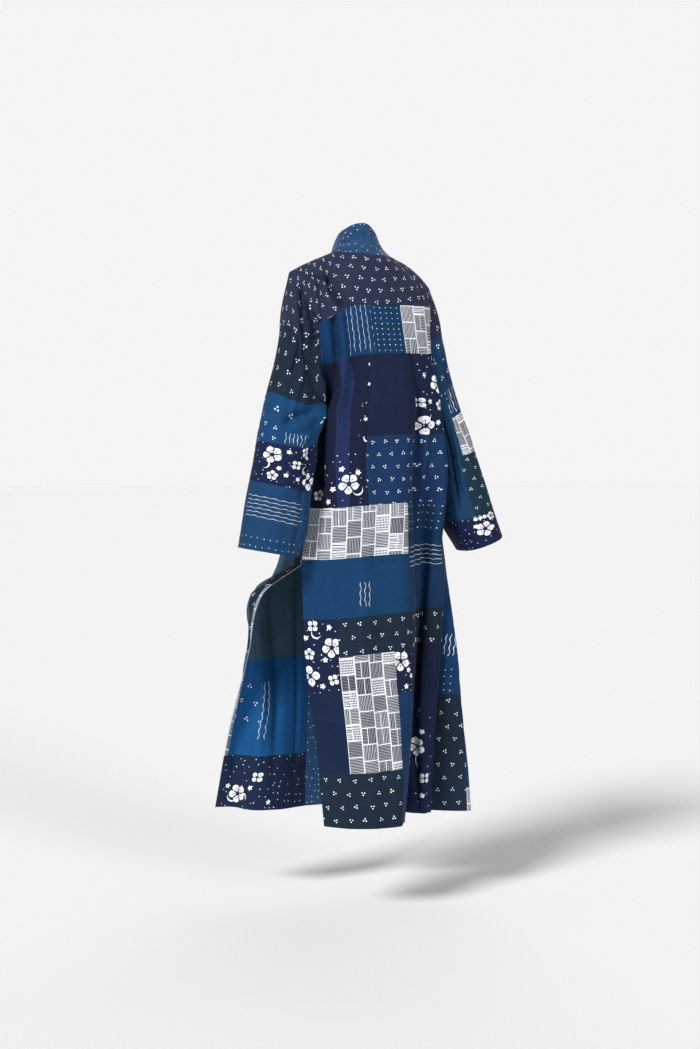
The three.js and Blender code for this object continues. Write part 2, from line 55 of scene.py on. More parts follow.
# Back panel, one row for each level, from the wearer's left edge to the right edge: the edge, the
# shoulder blade, the middle, the brow of the deep fold, its valley, its ridge and the other edge.
BACK_NAMES = ("left", "blade", "middle", "brow", "valley", "ridge", "right")
BACK_LEVELS = (
    (-113, (136, 84), (86, 99), (0, 107), (-68, 101), (-106, 92), (-130, 78), (-146, 58)),
    (-220, (128, 92), (80, 111), (0, 120), (-66, 114), (-106, 101), (-138, 82), (-146, 54)),
    (-285, (128, 72), (80, 109), (2, 121), (-66, 115), (-110, 97), (-150, 81), (-146, 40)),
    (-345, (128, 42), (82, 106), (4, 121), (-66, 116), (-112, 92), (-160, 79), (-149, 20)),
    (-460, (124, 30), (84, 106), (5, 121), (-64, 118), (-114, 80), (-168, 78), (-162, 30)),
    (-560, (142, 48), (92, 109), (8, 123), (-63, 121), (-122, 56), (-170, 76), (-174, 36)),
    (-690, (168, 75), (105, 112), (10, 126), (-76, 116), (-130, 38), (-172, 62), (-192, 38)),
    (-900, (160, 78), (98, 124), (14, 138), (-76, 126), (-128, 24), (-160, 52), (-184, 36)),
    (-1090, (137, 85), (88, 132), (16, 148), (-64, 137), (-118, 12), (-146, 40), (-171, 30)),
    (HEM_Z, (121, 93), (76, 140), (16, 156), (-47, 146), (-106, 5), (-132, 32), (-165, 22)),
)
# Fronts, one row for each level: the side edge, the side, the turn to the front, the edge that the
# band is sewn to, and the band's free edge. The left front is held out at its slit edge.
FRONT_NAMES = ("side", "flank", "turn", "edge", "free")
LEFT_FRONT_LEVELS = (
    (FRONT_SEAM_Z, (148, -52), (124, -66), (98, -76), (64, -84), (36, -96)),
    (-220, (138, -58), (124, -78), (104, -92), (76, -103), (30, -116)),
    (-285, (134, -34), (130, -60), (110, -84), (78, -105), (29, -118)),
    (-345, (128, 42), (130, -20), (114, -76), (78, -106), (28, -119)),
    (-460, (124, 30), (132, -18), (120, -78), (79, -108), (28, -120)),
    (-560, (142, 48), (152, -8), (136, -80), (79, -112), (28, -123)),
    (SLIT_Z, (168, 75), (180, 2), (154, -86), (80, -118), (28, -128)),
    (-760, (238, 8), (249, -46), (178, -104), (80, -122), (28, -131)),
    (-900, (253, -52), (237, -98), (178, -122), (82, -132), (29, -138)),
    (-1090, (275, -140), (236, -152), (182, -118), (84, -142), (31, -146)),
    (HEM_Z, (290, -205), (246, -192), (190, -122), (86, -150), (34, -154)),
)
RIGHT_FRONT_LEVELS = (
    (FRONT_SEAM_Z, (-140, -50), (-118, -64), (-94, -75), (-64, -84), (-36, -96)),
    (-220, (-140, -56), (-124, -77), (-104, -92), (-76, -103), (-30, -116)),
    (-285, (-142, -38), (-134, -62), (-112, -86), (-78, -105), (-29, -118)),
    (-345, (-149, 20), (-146, -30), (-118, -78), (-78, -106), (-28, -119)),
    (-460, (-162, 30), (-164, -20), (-130, -80), (-79, -108), (-28, -120)),
    (-560, (-174, 36), (-182, -12), (-144, -86), (-79, -112), (-28, -123)),
    (SLIT_Z, (-192, 38), (-206, -6), (-164, -94), (-80, -118), (-28, -128)),
    (-900, (-176, 6), (-226, 34), (-190, -92), (-82, -132), (-29, -138)),
    (-1090, (-162, -4), (-246, 42), (-210, -96), (-84, -142), (-31, -146)),
    (HEM_Z, (-156, -10), (-264, 40), (-230, -100), (-86, -150), (-34, -154)),
)
# Neckline and collar top: from the left front seam over the left shoulder, round the back and over
# the right shoulder to the right front seam.
NECKLINE = (
    # neckline,       collar's top
    ((64, -84, -90), (36, -96, -90)),
    ((68, -46, -28), (52, -58, 0)),
    ((72, 0, 7), (57, 0, 46)),
    ((60, 40, 6), (48, 38, 62)),
    ((30, 61, 4), (28, 54, 71)),
    ((0, 66, 1), (6, 58, 70)),
    ((-30, 61, -1), (-14, 49, 55)),
    ((-60, 40, -3), (-30, 27, 42)),
    ((-72, 0, -2), (-44, -8, 34)),
    ((-68, -46, -30), (-48, -58, -4)),
    ((-64, -84, -90), (-36, -96, -90)),
)
LEFT_ARMHOLE_TOP = ((160, -38, -62), (170, 4, -37), (158, 52, -72))
RIGHT_ARMHOLE_TOP = ((-154, 40, -84), (-159, 4, -62), (-152, -36, -82))
YOKE_SEAM_DROP = 37            # the yoke's back seam falls this much towards the left armhole
YOKE_DROP_REACH = 0.3          # over this share of the back's width
YOKE_CROWN = 9
COLLAR_CROWN = 4
END_REACH = 0.12
# How far round the neckline lies beside a share of the yoke's outer edge.
NECK_BESIDE = ((0, 0), (SHOULDER_SHARE / 2, 0.2), (SHOULDER_SHARE, 0.3), (0.5, 0.5),
               (1 - SHOULDER_SHARE, 0.7), (1 - SHOULDER_SHARE / 2, 0.8), (1, 1))

# Sleeves, one row for each ring below the armhole: its outer and its inner point as (distance from
# the robe's middle, height), and the ring's middle and half depth, front to back.
LEFT_RINGS = (
    ((189, -100), (138, -353), 26, 66),
    ((199, -170), (139, -362), 38, 66),
    ((219, -245), (140, -375), 54, 65),
    ((245, -325), (131, -398), 66, 64),
    ((267, -415), (133, -448), 76, 62),
    ((287, -505), (149, -536), 80, 61),
    ((301, -580), (162, -612), 80, 60),
    ((312, -649), (178, -673), 78, 60),
)
RIGHT_RINGS = (
    ((178, -112), (158, -354), -6, 62),
    ((190, -170), (160, -363), -8, 62),
    ((204, -235), (163, -376), -8, 63),
    ((229, -325), (167, -398), -8, 66),
    ((266, -415), (176, -448), -8, 68),
    ((298, -505), (188, -530), -4, 70),
    ((320, -580), (208, -612), 2, 74),
    ((336, -634), (244, -671), 8, 76),
)
SLEEVE_SQUARENESS = 2.3        # 2 is an ellipse, more is squarer

# Large soft folds that run down a piece: where, how far it leans, half width, how far in it lies,
# from, to.
BACK_FOLDS = ((0.14, 0.05, 0.055, -7, 0.02, 0.55), (0.3, -0.02, 0.06, -4, 0.35, 1),
              (0.5, 0.02, 0.05, 4, 0.5, 1))
FRONT_FOLDS = ((0.34, 0.02, 0.1, 9, 0.25, 1), (0.62, -0.03, 0.09, -7, 0.15, 1))
SLEEVE_FOLDS = ((0.16, 0.1, 0.045, 7, 0.05, 0.6), (0.3, 0.06, 0.045, -6, 0.05, 0.5),
                (0.36, 0, 0.08, 14, 0.14, 0.85), (0.66, -0.08, 0.05, 6, 0.1, 0.6),
                (0.85, -0.05, 0.05, -5, 0.15, 0.75))


# ---------- small maths ----------
def mix(a, b, t):
    return a + (b - a) * t


def mix_points(p, q, t):
    return tuple(mix(a, b, t) for a, b in zip(p, q))


def smooth(t):
    c = min(1.0, max(0.0, t))
    return c * c * (3 - 2 * c)


def hermite(knots, points, t):
    """A point of the smooth curve through points that stand at rising knots."""
    last = len(knots) - 1
    i = 0
    while i < last - 1 and t > knots[i + 1]:
        i += 1
    span = knots[i + 1] - knots[i]
    s = min(1.0, max(0.0, (t - knots[i]) / span))
    s2 = s * s
    s3 = s2 * s
    weights = (2 * s3 - 3 * s2 + 1, (s3 - 2 * s2 + s) * span, 3 * s2 - 2 * s3, (s3 - s2) * span)
    ends = ((max(0, i - 1), i + 1), (i, min(last, i + 2)))
    found = []
    for axis in range(len(points[0])):
        slopes = [(points[hi][axis] - points[lo][axis]) / (knots[hi] - knots[lo])
                  for lo, hi in ends]
        found.append(weights[0] * points[i][axis] + weights[1] * slopes[0]
                     + weights[2] * points[i + 1][axis] + weights[3] * slopes[1])
    return tuple(found)


def running_shares(points):
    """Running lengths along a row of points, from 0 to 1."""
    run = [0.0]
    for p, q in zip(points, points[1:]):
        run.append(run[-1] + math.dist(p, q) + TINY)
    return [length / run[-1] for length in run]


CURVE_STEPS = 72


def even_curve(stations):
    """The smooth curve through the stations, read by a share of its length."""
    knots = running_shares(stations)
    dense = [hermite(knots, stations, k / CURVE_STEPS) for k in range(CURVE_STEPS + 1)]
    run = running_shares(dense)

    def at(share):
        k = min(CURVE_STEPS - 1, max(0, bisect.bisect_right(run, share) - 1))
        return mix_points(dense[k], dense[k + 1], (share - run[k]) / (run[k + 1] - run[k]))
    return at


# ---------- the cloth's surfaces: each gives a point for two shares, across and down ----------
def zone_of(levels, name, z):
    """The levels that an edge is read from: it bends sharply at the underarm and at the slit."""
    if name not in ("left", "right", "side"):
        return levels
    if z > UNDERARM_Z:
        return [row for row in levels if row[0] >= UNDERARM_Z]
    if z > SLIT_Z:
        return [row for row in levels if UNDERARM_Z >= row[0] >= SLIT_Z]
    return [row for row in levels if row[0] <= SLIT_Z]


def level_reader(levels, names, wanted):
    """Reads a level table at any height, as a curve across the cloth."""
    known = {}

    def read(z, share):
        key = round(z, 4)
        if key not in known:
            stations = []
            for name in wanted:
                rows = zone_of(levels, name, z)
                column = names.index(name) + 1
                knots = [-row[0] for row in rows]
                stations.append(hermite(knots, [row[column] for row in rows], -z))
            known[key] = even_curve(stations)
        return known[key](share)
    return read


def row_z(top, down):
    """The height of a row that starts at a piece's top edge."""
    if down <= ARMHOLE_SHARE:
        return mix(top, UNDERARM_Z, down / ARMHOLE_SHARE)
    if down <= SEAM_SHARE:
        return mix(UNDERARM_Z, SLIT_Z, (down - ARMHOLE_SHARE) / (SEAM_SHARE - ARMHOLE_SHARE))
    return mix(SLIT_Z, HEM_Z, (down - SEAM_SHARE) / (1 - SEAM_SHARE))


read_back = level_reader(BACK_LEVELS, BACK_NAMES, BACK_NAMES)


def back_point(across, down):
    seam_z = BACK_LEVELS[0][0] - YOKE_SEAM_DROP * (1 - smooth(across / YOKE_DROP_REACH))
    z = row_z(seam_z, down)
    return (*read_back(z, across), z)


def front_surface(levels, wanted):
    read = level_reader(levels, FRONT_NAMES, wanted)

    def point(across, down):
        z = row_z(FRONT_SEAM_Z, down)
        return (*read(z, across), z)
    return point


left_front_point = front_surface(LEFT_FRONT_LEVELS, FRONT_NAMES[:4])
right_front_point = front_surface(RIGHT_FRONT_LEVELS, FRONT_NAMES[:4])
left_band_point = front_surface(LEFT_FRONT_LEVELS, FRONT_NAMES[3:])
right_band_point = front_surface(RIGHT_FRONT_LEVELS, FRONT_NAMES[3:])

NECK_SHARES = [k / (len(NECKLINE) - 1) for k in range(len(NECKLINE))]


def neck_curve(share):
    return hermite(NECK_SHARES, [row[0] for row in NECKLINE], share)


def collar_top_curve(share):
    return hermite(NECK_SHARES, [row[1] for row in NECKLINE], share)


left_arm_top = even_curve((left_front_point(0, 0), *LEFT_ARMHOLE_TOP, back_point(0, 0)))
right_arm_top = even_curve((back_point(1, 0), *RIGHT_ARMHOLE_TOP, right_front_point(0, 0)))


def yoke_outer(around):
    """The yoke's outer edge: the left armhole's top, the back seam and the right armhole's top."""
    if around <= SHOULDER_SHARE:
        return left_arm_top(around / SHOULDER_SHARE)
    if around >= 1 - SHOULDER_SHARE:
        return right_arm_top((around - 1 + SHOULDER_SHARE) / SHOULDER_SHARE)
    return back_point((around - SHOULDER_SHARE) / (1 - 2 * SHOULDER_SHARE), 0)


SLOPE_REACH = 1e-3


def crowned(inner, outer, crown):
    """A strip between two edge curves that stands out in its middle."""
    def flat(around, out):
        return mix_points(inner(around), outer(around), out)

    def point(around, out):
        ahead = Vector(flat(min(1, around + SLOPE_REACH), out))
        behind = Vector(flat(max(0, around - SLOPE_REACH), out))
        outward = Vector(flat(around, 1)) - Vector(flat(around, 0))
        normal = outward.cross(ahead - behind).normalized()
        return tuple(Vector(flat(around, out)) + normal * crown(around) * 4 * out * (1 - out))
    return point


def near_end(around):
    """1 at the start of a strip, 0 beyond its end's reach."""
    return 1 - smooth(around / END_REACH)


def endless(around):
    return (1 - near_end(around)) * (1 - near_end(1 - around))


def neck_beside(around):
    knots = [pair[0] for pair in NECK_BESIDE]
    return neck_curve(hermite(knots, [pair[1:] for pair in NECK_BESIDE], around)[0])


open_yoke = crowned(neck_beside, yoke_outer, lambda around: YOKE_CROWN * endless(around))


def yoke_point(around, out):
    """The yoke, whose two ends lie along the top edges of the fronts."""
    to_left = Vector(left_front_point(1 - out, 0)) - Vector(open_yoke(0, out))
    to_right = Vector(right_front_point(1 - out, 0)) - Vector(open_yoke(1, out))
    return tuple(Vector(open_yoke(around, out)) + to_left * near_end(around)
                 + to_right * near_end(1 - around))


collar_point = crowned(neck_curve, collar_top_curve, lambda around: COLLAR_CROWN * endless(around))

LOOP_STEPS = 24


def armhole_loop(top_curve, back_share, front_point):
    """The armhole's edge, read by the sleeve's share round it: 0 at the top, 0.5 underarm."""
    top = [top_curve(k / LOOP_STEPS) for k in range(1, LOOP_STEPS)]
    if back_share:
        top.reverse()
    highest = max(range(len(top)), key=lambda k: top[k][2])
    downs = [ARMHOLE_SHARE * k / LOOP_STEPS for k in range(LOOP_STEPS)]
    behind = top[highest:] + [back_point(back_share, down) for down in downs]
    underarm = back_point(back_share, ARMHOLE_SHARE)
    before = [front_point(0, down) for down in reversed(downs)] + top[:highest + 1]
    halves = []
    for points in (behind + [underarm], [underarm] + before):
        run = running_shares(points)
        halves.append((run, points))

    def at(share):
        run, points = halves[0] if share <= 0.5 else halves[1]
        local = share * 2 if share <= 0.5 else share * 2 - 1
        k = min(len(run) - 2, max(0, bisect.bisect_right(run, local) - 1))
        return mix_points(points[k], points[k + 1], (local - run[k]) / (run[k + 1] - run[k]))
    return at


def power(value):
    return math.copysign(abs(value) ** (2 / SLEEVE_SQUARENESS), value)


def ring_point(ring, sign, share):
    """A point of a sleeve's ring: 0 is the outer point, then the back, the inner point and the
    front."""
    outer, inner, mid_y, half_y = ring
    out = power(math.cos(share * 2 * math.pi))
    backward = power(math.sin(share * 2 * math.pi))
    middle = mix_points(outer, inner, 0.5)
    return (sign * (middle[0] + out * (outer[0] - middle[0])), mid_y + backward * half_y,
            middle[1] + out * (outer[1] - middle[1]))


def sleeve_surface(rings, sign, loop):
    middles = [mix_points(loop(0), loop(0.5), 0.5)]
    middles += [mix_points(ring_point(ring, sign, 0), ring_point(ring, sign, 0.5), 0.5)
                for ring in rings]
    knots = running_shares(middles)

    def point(around, down):
        share = around % 1.0
        stations = [loop(share)] + [ring_point(ring, sign, share) for ring in rings]
        return hermite(knots, stations, down)
    return point


left_sleeve_point = sleeve_surface(LEFT_RINGS, 1, armhole_loop(left_arm_top, 0, left_front_point))
right_sleeve_point = sleeve_surface(RIGHT_RINGS, -1,
                                    armhole_loop(right_arm_top, 1, right_front_point))


# ---------- numbers in a shader ----------
class Num:
    """A number that a shader works out at each place, so that its formulas read as formulas."""

    def __init__(self, socket):
        self.socket = socket

    def calc(self, operation, *others):
        tree = self.socket.id_data
        node = tree.nodes.new("ShaderNodeMath")
        node.operation = operation
        for socket, value in zip(node.inputs, (self, *others)):
            plug(tree, socket, value)
        return Num(node.outputs[0])

    def __add__(self, other):
        return self.calc("ADD", other)

    def __sub__(self, other):
        return self.calc("SUBTRACT", other)

    def __mul__(self, other):
        return self.calc("MULTIPLY", other)

    def __truediv__(self, other):
        return self.calc("DIVIDE", other)

    def clamped(self):
        self.socket.node.use_clamp = True
        return self


def plug(tree, socket, value):
    if isinstance(value, Num):
        tree.links.new(value.socket, socket)
    else:
        socket.default_value = value


def parts(tree, socket):
    """The across and down parts of a place on the cloth."""
    node = tree.nodes.new("ShaderNodeSeparateXYZ")
    tree.links.new(socket, node.inputs[0])
    return Num(node.outputs[0]), Num(node.outputs[1])


def joined(tree, x, y, z=0.0):
    node = tree.nodes.new("ShaderNodeCombineXYZ")
    for socket, value in zip(node.inputs, (x, y, z)):
        plug(tree, socket, value)
    return node.outputs[0]


def chance(tree, x, y, seed):
    """Three random numbers from 0 to 1 for a cell."""
    node = tree.nodes.new("ShaderNodeTexWhiteNoise")
    node.noise_dimensions = "3D"
    tree.links.new(joined(tree, x, y, seed), node.inputs["Vector"])
    split = tree.nodes.new("ShaderNodeSeparateColor")
    tree.links.new(node.outputs["Color"], split.inputs[0])
    return [Num(socket) for socket in split.outputs]


def cloudy(tree, vector, scale, detail=2.0):
    """Soft noise, from 0 to 1."""
    node = tree.nodes.new("ShaderNodeTexNoise")
    node.inputs["Scale"].default_value = scale
    node.inputs["Detail"].default_value = detail
    tree.links.new(vector, node.inputs["Vector"])
    return Num(node.outputs["Fac"])


DYE_EDGE = 0.0005              # over which the dye's edge is soft, in metres
SHARP = 0.001                  # the same for a choice between two kinds of cell
TURN = 2 * math.pi
JITTER = 0.12                  # how far a motif leaves its cell's middle, as a share of the cell


def below(distance, reach, edge=DYE_EDGE):
    """1 where a distance is less than a reach, 0 beyond it."""
    return ((distance - reach) * (-1 / edge) + 0.5).clamped()


def between(value, low, high):
    return below(value * -1, low * -1) * below(value, high)


def distance_of(x, y):
    return (x * x + y * y).calc("SQRT")


def turned_round(x, y, turn):
    return y.calc("ARCTAN2", x) + turn


def folded(angle, count):
    """An angle folded into one of equal sectors, from minus to plus half a sector."""
    sector = TURN / count
    return angle.calc("FLOORED_MODULO", sector) - sector / 2


def from_spoke(reach, angle, along):
    """The distance to a point that stands along the middle of a sector."""
    squared = reach * reach + along * along - reach * along * 2 * angle.calc("COSINE")
    return squared.calc("MAXIMUM", 0.0).calc("SQRT")


def other_than(mask):
    """1 where a mask is 0, and 0 where it is 1."""
    return mask * -1 + 1


def from_middle(value):
    """How far a place in a cell, from 0 to 1, is from the cell's middle."""
    return (value - 0.5).calc("ABSOLUTE")


# ---------- dyed motifs, each a group that gives a mask; sizes in metres ----------
def shader_group(name, inputs, build):
    """A node group that is built once; an input that starts as None is a vector."""
    tree = bpy.data.node_groups.get(name)
    if tree is not None:
        return tree
    tree = bpy.data.node_groups.new(name, "ShaderNodeTree")
    for label, start in inputs.items():
        kind = "NodeSocketVector" if start is None else "NodeSocketFloat"
        socket = tree.interface.new_socket(name=label, in_out="INPUT", socket_type=kind)
        if start is not None:
            socket.default_value = start
    entry = tree.nodes.new("NodeGroupInput")
    given = [entry.outputs[label] if start is None else Num(entry.outputs[label])
             for label, start in inputs.items()]
    found = build(tree, *given)
    way_out = tree.nodes.new("NodeGroupOutput")
    for label in found:
        tree.interface.new_socket(name=label, in_out="OUTPUT", socket_type="NodeSocketFloat")
    for label, value in found.items():
        plug(tree, way_out.inputs[label], value)
    return tree


def triple_dots(tree, place, across, down, radius, spread, seed):
    """Staggered rows of three dots each, every three turned its own way."""
    u, v = parts(tree, place)
    row = (v / down).calc("FLOOR")
    along = u / across + row.calc("FLOORED_MODULO", 2.0) * 0.5
    first, second, third = chance(tree, along.calc("FLOOR"), row, seed)
    x = (along.calc("FRACT") - 0.5 + (second - 0.5) * JITTER) * across
    y = ((v / down).calc("FRACT") - 0.5 + (third - 0.5) * JITTER) * down
    angle = folded(turned_round(x, y, first * TURN), 3)
    apart = from_spoke(distance_of(x, y), angle, spread)
    return {"Mask": below(apart, radius * (second * 0.2 + 0.9))}


def three_dots(tree, place, left, top, radius, spread, turn):
    """One close set of three dots."""
    u, v = parts(tree, place)
    x, y = u - left, v - top
    apart = from_spoke(distance_of(x, y), folded(turned_round(x, y, turn), 3), spread)
    return {"Mask": below(apart, radius)}


def dot_rows(tree, place, across, down, radius, seed):
    """Rows of small dots."""
    u, v = parts(tree, place)
    first, second, third = chance(tree, (u / across).calc("FLOOR"), (v / down).calc("FLOOR"), seed)
    x = ((u / across).calc("FRACT") - 0.5 + (first - 0.5) * JITTER) * across
    y = ((v / down).calc("FRACT") - 0.5 + (second - 0.5) * JITTER) * down
    return {"Mask": below(distance_of(x, y), radius * (third * 0.3 + 0.85))}


STROKE_DEPTH = 0.8             # thin strokes take back some of the dye
STROKE_PHASE = 5               # two strokes start this far apart at most, in radians
SWAY, SWAY_PHASE = 2.3, 6      # a slower wave under each stroke
LATE_START = 0.006             # strokes begin and end unevenly, by up to this much, in metres
EARLY_END = 0.009


def wavy_lines(tree, place, spacing, amplitude, wavelength, thickness, ends, seed):
    """Long wavy strokes side by side, from 0 down to about the ends."""
    u, v = parts(tree, place)
    line = (u / spacing).calc("FLOOR")
    first, second, third = chance(tree, line, line * 0.37, seed)
    wave = (v / wavelength * 2 * math.pi + first * STROKE_PHASE).calc("SINE")
    slow = (v / wavelength * SWAY + second * SWAY_PHASE).calc("SINE")
    off = u - (line + 0.5) * spacing + (wave + slow * 0.5) * amplitude
    begins = second * LATE_START
    stops = ends - third * EARLY_END
    stroke = below(off.calc("ABSOLUTE"), thickness * (wave * 0.15 + 0.5))
    return {"Mask": stroke * between(v, begins, stops) * STROKE_DEPTH}


def window(tree, place, left, right, top, foot):
    """1 inside a box of the cloth."""
    u, v = parts(tree, place)
    return {"Mask": between(u, left, right) * between(v, top, foot)}


def bent_band(tree, place, left, right, shift, settles):
    """1 inside a long band that moves across at first as it runs down, then settles."""
    u, v = parts(tree, place)
    left_over = (v / settles * -1).calc("EXPONENT")
    return {"Mask": between(u - other_than(left_over) * shift, left, right)}


# Parts of a blossom, as shares of its radius.
BLOSSOM_SOFT = DYE_EDGE / 0.018
PETAL_AT = 0.59
PETAL_REACH = 0.385
PETAL_GAP = 0.078
EYE_AT = 0.2
EYE_HALF = 0.035
STAMEN_HALF = 0.028
STAMEN_END = 0.52
TIP_AT, TIP_SIZE = 0.56, 0.06
SIDE_TURN = 0.3                # in radians, to the two small dots beside each stamen
SIDE_AT, SIDE_SIZE = 0.47, 0.045


def blossom(tree, place, left, top, radius, turn, petals):
    """A plain round-petalled blossom, with dark gaps, stamens and a dark eye."""
    u, v = parts(tree, place)
    x, y = (u - left) / radius, (v - top) / radius
    reach = distance_of(x, y)
    sector = petals.calc("POWER", -1.0) * 2 * math.pi
    angle = turned_round(x, y, turn).calc("FLOORED_MODULO", sector) - sector * 0.5
    side = angle.calc("ABSOLUTE")
    petal = below(from_spoke(reach, angle, PETAL_AT), PETAL_REACH, BLOSSOM_SOFT)
    gap = below(reach * (sector * 0.5 - side).calc("SINE"), PETAL_GAP, BLOSSOM_SOFT)
    eye = below((reach - EYE_AT).calc("ABSOLUTE"), EYE_HALF, BLOSSOM_SOFT)
    stamen = below(reach * side.calc("SINE"), STAMEN_HALF, BLOSSOM_SOFT)
    stamen = stamen * between(reach, EYE_AT, STAMEN_END)
    tips = below(from_spoke(reach, angle, TIP_AT), TIP_SIZE, BLOSSOM_SOFT)
    beside = below(from_spoke(reach, side - SIDE_TURN, SIDE_AT), SIDE_SIZE, BLOSSOM_SOFT)
    dark = gap
    for part in (eye, stamen, tips, beside):
        dark = dark.calc("MAXIMUM", part)
    return {"Mask": petal * other_than(dark)}


STAR_SOFT = DYE_EDGE / 0.006
LOBES, LOBE_AT, LOBE_DEPTH = 5, 0.78, 0.2
STAR_EYE = 0.13


def star(tree, place, left, top, radius, turn):
    """A small five-lobed blossom without detail."""
    u, v = parts(tree, place)
    x, y = (u - left) / radius, (v - top) / radius
    lobes = (turned_round(x, y, turn) * LOBES).calc("COSINE") * LOBE_DEPTH + LOBE_AT
    reach = distance_of(x, y)
    eye = below(reach, STAR_EYE, STAR_SOFT)
    return {"Mask": below(reach, lobes, STAR_SOFT) * other_than(eye)}


CURL_HALF = 0.0021             # half a tendril's width where it is widest
CURL_END_SOFT = 0.05           # in radians


def curl(tree, place, left, top, radius, turn, sweep):
    """A curled tendril: part of a ring that thins to both ends."""
    u, v = parts(tree, place)
    x, y = u - left, v - top
    side = (turned_round(x, y, turn).calc("FLOORED_MODULO", TURN) - math.pi).calc("ABSOLUTE")
    width = (sweep - side).calc("MAXIMUM", 0.0) / sweep * CURL_HALF
    ring = below((distance_of(x, y) - radius).calc("ABSOLUTE"), width)
    return {"Mask": ring * below(side, sweep, CURL_END_SOFT)}


HATCH_CELL = 0.033             # a block's height
HATCH_WIDTH = HATCH_CELL * 1.12
HATCH_PITCH = 0.0034
HATCH_BORDER = 0.0022
HATCH_SOFT = 0.0004
HATCH_WOBBLE, WOBBLE_SCALE = 0.0022, 90
HALVED_SHARE = 0.4             # of the blocks, that are two in one
LEVEL_SHARE = 0.52             # of the blocks, whose lines run level
OPEN_SHARE = 0.22              # of the blocks, that show the crossing lines as well
CROSS_PITCH, CROSS_HALF = 1.6, 0.0007
THIN_SPLIT = 1.6               # the line inside a halved block is this much thinner


def hatch_blocks(tree, place, seed, share):
    """Blocks of plain hatching in two directions and at a slant, between pale lines."""
    u, v = parts(tree, place)
    row = (v / HATCH_CELL).calc("FLOOR")
    shift = chance(tree, row, row * 0.61, seed)[0]
    along = u / HATCH_WIDTH + shift
    cell = along.calc("FLOOR")
    kind, tilt, split = chance(tree, cell, row, seed + 3.0)
    x = along.calc("FRACT") * HATCH_WIDTH
    y = (v / HATCH_CELL).calc("FRACT") * HATCH_CELL
    halved = below(split, HALVED_SHARE, SHARP)
    cut = split * HATCH_CELL * 0.5 + HATCH_CELL * 0.35
    upper = below(y, cut) * halved
    turned = (kind + upper * 0.37).calc("FLOORED_MODULO", 1.0)
    level = below(turned, LEVEL_SHARE, SHARP)
    wobble = (cloudy(tree, place, WOBBLE_SCALE) - 0.5) * HATCH_WOBBLE
    line = y * level + x * other_than(level) + wobble
    stripe = from_middle((line / HATCH_PITCH).calc("FRACT")) * HATCH_PITCH
    dark = below(stripe, (tilt * 0.3 + 0.85) * share * HATCH_PITCH, HATCH_SOFT)
    edge_u = from_middle(along.calc("FRACT")) * -HATCH_WIDTH + HATCH_WIDTH / 2
    edge_v = from_middle((v / HATCH_CELL).calc("FRACT")) * -HATCH_CELL + HATCH_CELL / 2
    edge_s = (y - cut).calc("ABSOLUTE") + other_than(halved)
    nearest = edge_u.calc("MINIMUM", edge_v).calc("MINIMUM", edge_s * THIN_SPLIT)
    border = below(nearest, HATCH_BORDER / 2)
    crossing = from_middle((x / HATCH_PITCH / CROSS_PITCH).calc("FRACT"))
    cross = below(crossing * HATCH_PITCH * CROSS_PITCH, CROSS_HALF)
    open_cell = below(tilt, OPEN_SHARE, SHARP)
    return {"Mask": other_than(dark).calc("MAXIMUM", border).calc("MAXIMUM", cross * open_cell)}


SPRINKLE_JITTER = 0.7
SPRINKLE_SHARE = 0.68          # of the cells, that hold a dot


def sprinkle(tree, place, cell, radius, seed):
    """Tiny dots, one to a cell, anywhere in it, with every third left out."""
    u, v = parts(tree, place)
    first, second, third = chance(tree, (u / cell).calc("FLOOR"), (v / cell).calc("FLOOR"), seed)
    x = ((u / cell).calc("FRACT") - 0.5 + (first - 0.5) * SPRINKLE_JITTER) * cell
    y = ((v / cell).calc("FRACT") - 0.5 + (second - 0.5) * SPRINKLE_JITTER) * cell
    dot = below(distance_of(x, y), radius * (first * 0.4 + 0.8))
    return {"Mask": dot * below(third, SPRINKLE_SHARE, 0.01)}


MOTIFS = {
    "triple_dots": (triple_dots, {"Across": 0.03, "Down": 0.028, "Radius": 0.0014,
                                  "Spread": 0.0032, "Seed": 0.0}),
    "three_dots": (three_dots, {"Left": 0.0, "Top": 0.0, "Radius": 0.002, "Spread": 0.0045,
                                "Turn": 0.0}),
    "dot_rows": (dot_rows, {"Across": 0.015, "Down": 0.017, "Radius": 0.001, "Seed": 0.0}),
    "wavy_lines": (wavy_lines, {"Spacing": 0.01, "Amplitude": 0.0011, "Wavelength": 0.016,
                                "Thickness": 0.0016, "Ends": 0.1, "Seed": 0.0}),
    "window": (window, {"Left": -1.0, "Right": 1.0, "Top": -1.0, "Foot": 1.0}),
    "bent_band": (bent_band, {"Left": 0.0, "Right": 0.03, "Shift": 0.03, "Settles": 0.07}),
    "blossom": (blossom, {"Left": 0.0, "Top": 0.0, "Size": 0.02, "Turn": 0.0, "Petals": 5.0}),
    "star": (star, {"Left": 0.0, "Top": 0.0, "Size": 0.006, "Turn": 0.0}),
    "curl": (curl, {"Left": 0.0, "Top": 0.0, "Size": 0.012, "Turn": 0.0, "Sweep": 1.6}),
    "hatch_blocks": (hatch_blocks, {"Seed": 0.0, "Share": 0.36}),
    "sprinkle": (sprinkle, {"Cell": 0.02, "Radius": 0.001, "Seed": 0.0}),
}
NOT_LENGTHS = ("Seed", "Turn", "Petals", "Sweep", "Share")


def group_on(tree, place, name, inputs, build):
    """A node that uses a group, linked to a place."""
    node = tree.nodes.new("ShaderNodeGroup")
    node.node_tree = shader_group(name, {"Place": None, **inputs}, build)
    tree.links.new(place, node.inputs["Place"])
    return node


def motif(tree, place, name, *values):
    """One motif on the cloth; sizes are given in mm, other numbers as they are."""
    build, inputs = MOTIFS[name]
    node = group_on(tree, place, name, inputs, build)
    for label, value in zip(inputs, values):
        node.inputs[label].default_value = value if label in NOT_LENGTHS else value * MM
    return Num(node.outputs["Mask"])


